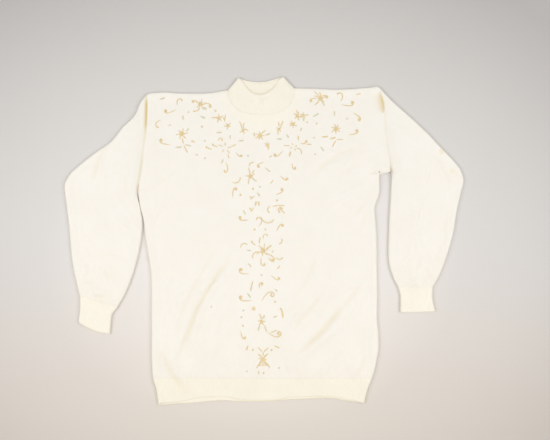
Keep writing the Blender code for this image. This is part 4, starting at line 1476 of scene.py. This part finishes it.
for embroidery, embroidery_slot in (
    (gold_embroidery, "gold_thread"),
    (pale_embroidery, "pale_thread"),
):
    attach(embroidery, "root")

# The seams. The pieces are linked edge to edge with the garment's own yarn, so that a fine row
# of short loops lies across each seam.

SEAM_STITCH_PITCH = 3.4
SEAM_STITCH_LENGTH = 2.6
SEAM_STITCH_LEAN = 0.5  # how far each loop leans along its seam
SEAM_STITCH_SIZE = (1.2, 0.8)  # width and height
SEAM_STITCH_RINGS = 7
SEAM_STITCH_SIDES = 6
SEAM_STITCH_CLEAR = 6.0  # how far from a seam's ends the loops start
ARMHOLE_TOPS = (344.0, 358.0)  # where they end, short of the shoulders
SEAM_SEED = 23

# The same cream yarn, a little denser where it is drawn tight.
linking_yarn = thread_finish("cream_linking_yarn", "#F8F5EC", "#F0EADB", 0.0, 0.85)


def seam_places(line):
    """Places along a seam's line and their crossing direction, as complex numbers."""
    distance = line_distance(line)
    at = np.arange(SEAM_STITCH_PITCH, distance[-1] - SEAM_STITCH_PITCH, SEAM_STITCH_PITCH)
    x, y = [np.interp(at, distance, line[:, axis]) for axis in (0, 1)]
    run = np.gradient(x) + 1j * np.gradient(y)
    run /= np.abs(run)
    return x + 1j * y, 1j * run + SEAM_STITCH_LEAN * run


def armhole_line(edge_side, low, high):
    """An armhole seam's line, from the underarm up to the shoulder."""
    y = np.linspace(low, high, LINE_SAMPLES)
    return np.stack([side_edges(y)[edge_side], y], axis=-1)


hem_right, hem_left = side_edges(HEM_SEAM_Y)
hem_x = np.linspace(hem_right + SEAM_STITCH_CLEAR, hem_left - SEAM_STITCH_CLEAR, LINE_SAMPLES)
seam_lines = (
    np.stack([hem_x, np.full(LINE_SAMPLES, HEM_SEAM_Y)], axis=-1),
    chord_line(NECKLINES[:, :2], LINE_SHARES),
    armhole_line(0, RIGHT_UNDERARM_Y + SEAM_STITCH_CLEAR, ARMHOLE_TOPS[0]),
    armhole_line(1, LEFT_UNDERARM_Y + SEAM_STITCH_CLEAR, ARMHOLE_TOPS[1]),
    RIGHT_CUFF[0, :4].reshape(2, 2),
    LEFT_CUFF[0, :4].reshape(2, 2),
)
seam_spots, seam_crossings = np.concatenate([seam_places(line) for line in seam_lines], axis=1)
seam_t = np.linspace(-1, 1, SEAM_STITCH_RINGS)
seam_draw = np.random.default_rng(SEAM_SEED)
seam_long = 0.5 * SEAM_STITCH_LENGTH * seam_draw.uniform(0.8, 1.15, len(seam_spots))
seam_path = seam_spots[:, None] + seam_t * (seam_crossings * seam_long)[:, None]
seam_full = np.sqrt(np.clip(1 - seam_t**4, 0.04, 1))
seam_level = upper_height(seam_path.real, seam_path.imag) - SEAM_DIP
seam_rings = oval_rings(
    seam_path,
    (seam_crossings / np.abs(seam_crossings))[:, None],
    0.5 * SEAM_STITCH_SIZE[0] * seam_full,
    SEAM_STITCH_SIZE[1] * seam_full,
    seam_level,
    SEAM_STITCH_SIDES,
)
seam_along = np.broadcast_to(seam_t * SEAM_STITCH_LENGTH / 2, seam_path.shape)
seam_stitches = tube_set("seam_stitches", seam_rings, seam_along, linking_yarn)
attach(seam_stitches, "root")

# The beads. Small pearl beads sewn on between the motifs, sunk a little in the knit.

PEARL_SIZE = 4.2
PEARL_HEIGHT = 3.0
PEARL_RINGS = 9
PEARL_SIDES = 14

# Lacquered imitation pearl: glossy, with a faint warm and cool shift over its surface.
pearl, pearl_tree, pearl_place = new_finish("imitation_pearl")
pearl_cloud = noise(pearl_tree, pearl_place, 420.0, 2.0)
set_surface(pearl_tree, {
    "Base Color": mixed(pearl_tree, pearl_cloud, "#E6DFC8", "#D8D4C6"),
    "Roughness": remapped(pearl_tree, pearl_cloud, 0.3, 0.7, 0.16, 0.28),
    "Normal": bumped(pearl_tree, 0.1, 0.05, pearl_cloud),
    "Coat Weight": 0.4,
})

pearl_spots = chart_place(*np.array(PEARLS, float).T)
pearl_turn = np.linspace(0, FULL_TURN, PEARL_SIDES, endpoint=False)
pearl_rise = np.linspace(-0.97, 0.97, PEARL_RINGS) * np.pi / 2
pearl_ring = 0.5 * PEARL_SIZE * np.cos(pearl_rise)[:, None] * np.exp(1j * pearl_turn)
pearl_disc = pearl_spots[:, None, None] + pearl_ring
pearl_z = front_surface(pearl_spots.real, pearl_spots.imag)[:, None, None] + 0.25 * PEARL_HEIGHT
pearl_z = pearl_z + 0.5 * PEARL_HEIGHT * np.sin(pearl_rise)[:, None] + 0 * pearl_turn
pearl_points = np.stack([pearl_disc.real, pearl_disc.imag, pearl_z], axis=-1)
pearl_along = np.broadcast_to(pearl_rise, (len(pearl_spots), PEARL_RINGS))
pearl_beads = tube_set("pearl_beads", pearl_points, pearl_along, pearl)
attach(pearl_beads, "root")

# The floor, the lights and the camera. A pale grey studio sweep, lit softly from both sides so
# that the garment casts only a narrow soft shadow all round, and seen from straight above.

FLOOR_DROP = 0.0002  # below the solids' underside in metres, so that the two never fight
FLOOR_CORNERS = ((-4, -4), (4, -4), (4, 4), (-4, 4))

# Matt paper with a slight tooth and painted light: painted brighter next to the garment, then
# darker and warmer towards its corners and its lower edge, where the light falls off. The share
# is the squared distance from a middle, in units of an oval's half axes.
PAPER_MIDDLE = (-0.03, -0.05, 0.0)
PAPER_OVAL = (0.62, 0.50, 1.0)

paper, paper_tree, paper_place = new_finish("pale_grey_paper")
paper_plain = mixed(paper_tree, noise(paper_tree, paper_place, 2.2, 3.0), "#D1CECC", "#D5D3D1")
paper_moved = vector_maths(paper_tree, "SUBTRACT", {0: paper_place, 1: PAPER_MIDDLE})
paper_out = vector_maths(paper_tree, "DIVIDE", {0: paper_moved, 1: PAPER_OVAL})
paper_square = vector_maths(paper_tree, "DOT_PRODUCT", {0: paper_out, 1: paper_out}, "Value")
# painted light: brighter close round the garment, darker towards the corners
paper_near = remapped(paper_tree, paper_square, 0.15, 0.65, 1.19, 1.01)
paper_far = remapped(paper_tree, paper_square, 0.65, 2.6, 1.02, 0.71)
paper_light = maths(paper_tree, "MULTIPLY", paper_near, paper_far)
paper_y = add(paper_tree, "ShaderNodeSeparateXYZ", {0: paper_place}).outputs[1]
# painted warm light towards the lower edge
paper_warm_light = remapped(
    paper_tree, paper_y, 0.05, -0.46, 0.0, 0.65, interpolation_type="SMOOTHSTEP"
)
paper_tint = mixed(paper_tree, paper_warm_light, paper_plain, "#D6CDC3")
paper_tooth = noise(paper_tree, paper_place, 900.0, 2.0)
set_surface(paper_tree, {
    "Base Color": vector_maths(paper_tree, "SCALE", {0: paper_tint, "Scale": paper_light}),
    "Normal": bumped(paper_tree, 0.25, 0.1, paper_tooth),
    "Roughness": 0.9,
    "Specular IOR Level": 0.2,
})
floor_mesh = bpy.data.meshes.new("floor")
floor_mesh.from_pydata([(x, y, -FLOOR_DROP) for x, y in FLOOR_CORNERS], [], [(0, 1, 2, 3)])
floor = show("floor", floor_mesh, paper)

# Two big soft boxes, a weak top light and a weak warm one from the hem's side.
for light_name, light_place, light_turn, light_size, light_power, light_tint in (
    # name, place and turn, size, power and tint, in metres, radians and watts
    ("left_softbox", (-1.7, 0.0, 1.75), (0, -0.80, 0), 1.3, 21.6, "#FFFFFF"),
    ("right_softbox", (1.75, -0.05, 1.75), (0, 0.80, 0), 1.3, 21.8, "#FFFFFF"),
    ("top_fill", (0.0, 0.0, 2.6), (0, 0, 0), 1.6, 6.0, "#FFFFFF"),
    ("low_fill", (0.0, -1.3, 1.6), (0.68, 0, 0), 1.0, 2.9, "#FFDDAA"),
):
    lamp = bpy.data.lights.new(light_name, "AREA")
    lamp.shape = "SQUARE"
    lamp.size = light_size
    lamp.energy = light_power
    lamp.color = linear(light_tint)[:3]
    lamp_object = bpy.data.objects.new(light_name, lamp)
    lamp_object.location = light_place
    lamp_object.rotation_euler = light_turn
    bpy.context.scene.collection.objects.link(lamp_object)

world = bpy.data.worlds.new("pale_room")
world.use_nodes = True
world.node_tree.nodes["Background"].inputs["Color"].default_value = linear("#F4F3F1")
world.node_tree.nodes["Background"].inputs["Strength"].default_value = 0.55
bpy.context.scene.world = world
bpy.context.scene.view_settings.view_transform = "Standard"

# The picture's middle lies a little above and to the right of the garment's own middle.
CAMERA_PLACE = (0.0264, 0.0504, 1.833)

camera_data = bpy.data.cameras.new("camera")
camera_data.lens = 50
camera_data.sensor_width = 36
camera = bpy.data.objects.new("camera", camera_data)
camera.location = CAMERA_PLACE
bpy.context.scene.collection.objects.link(camera)
bpy.context.scene.camera = camera
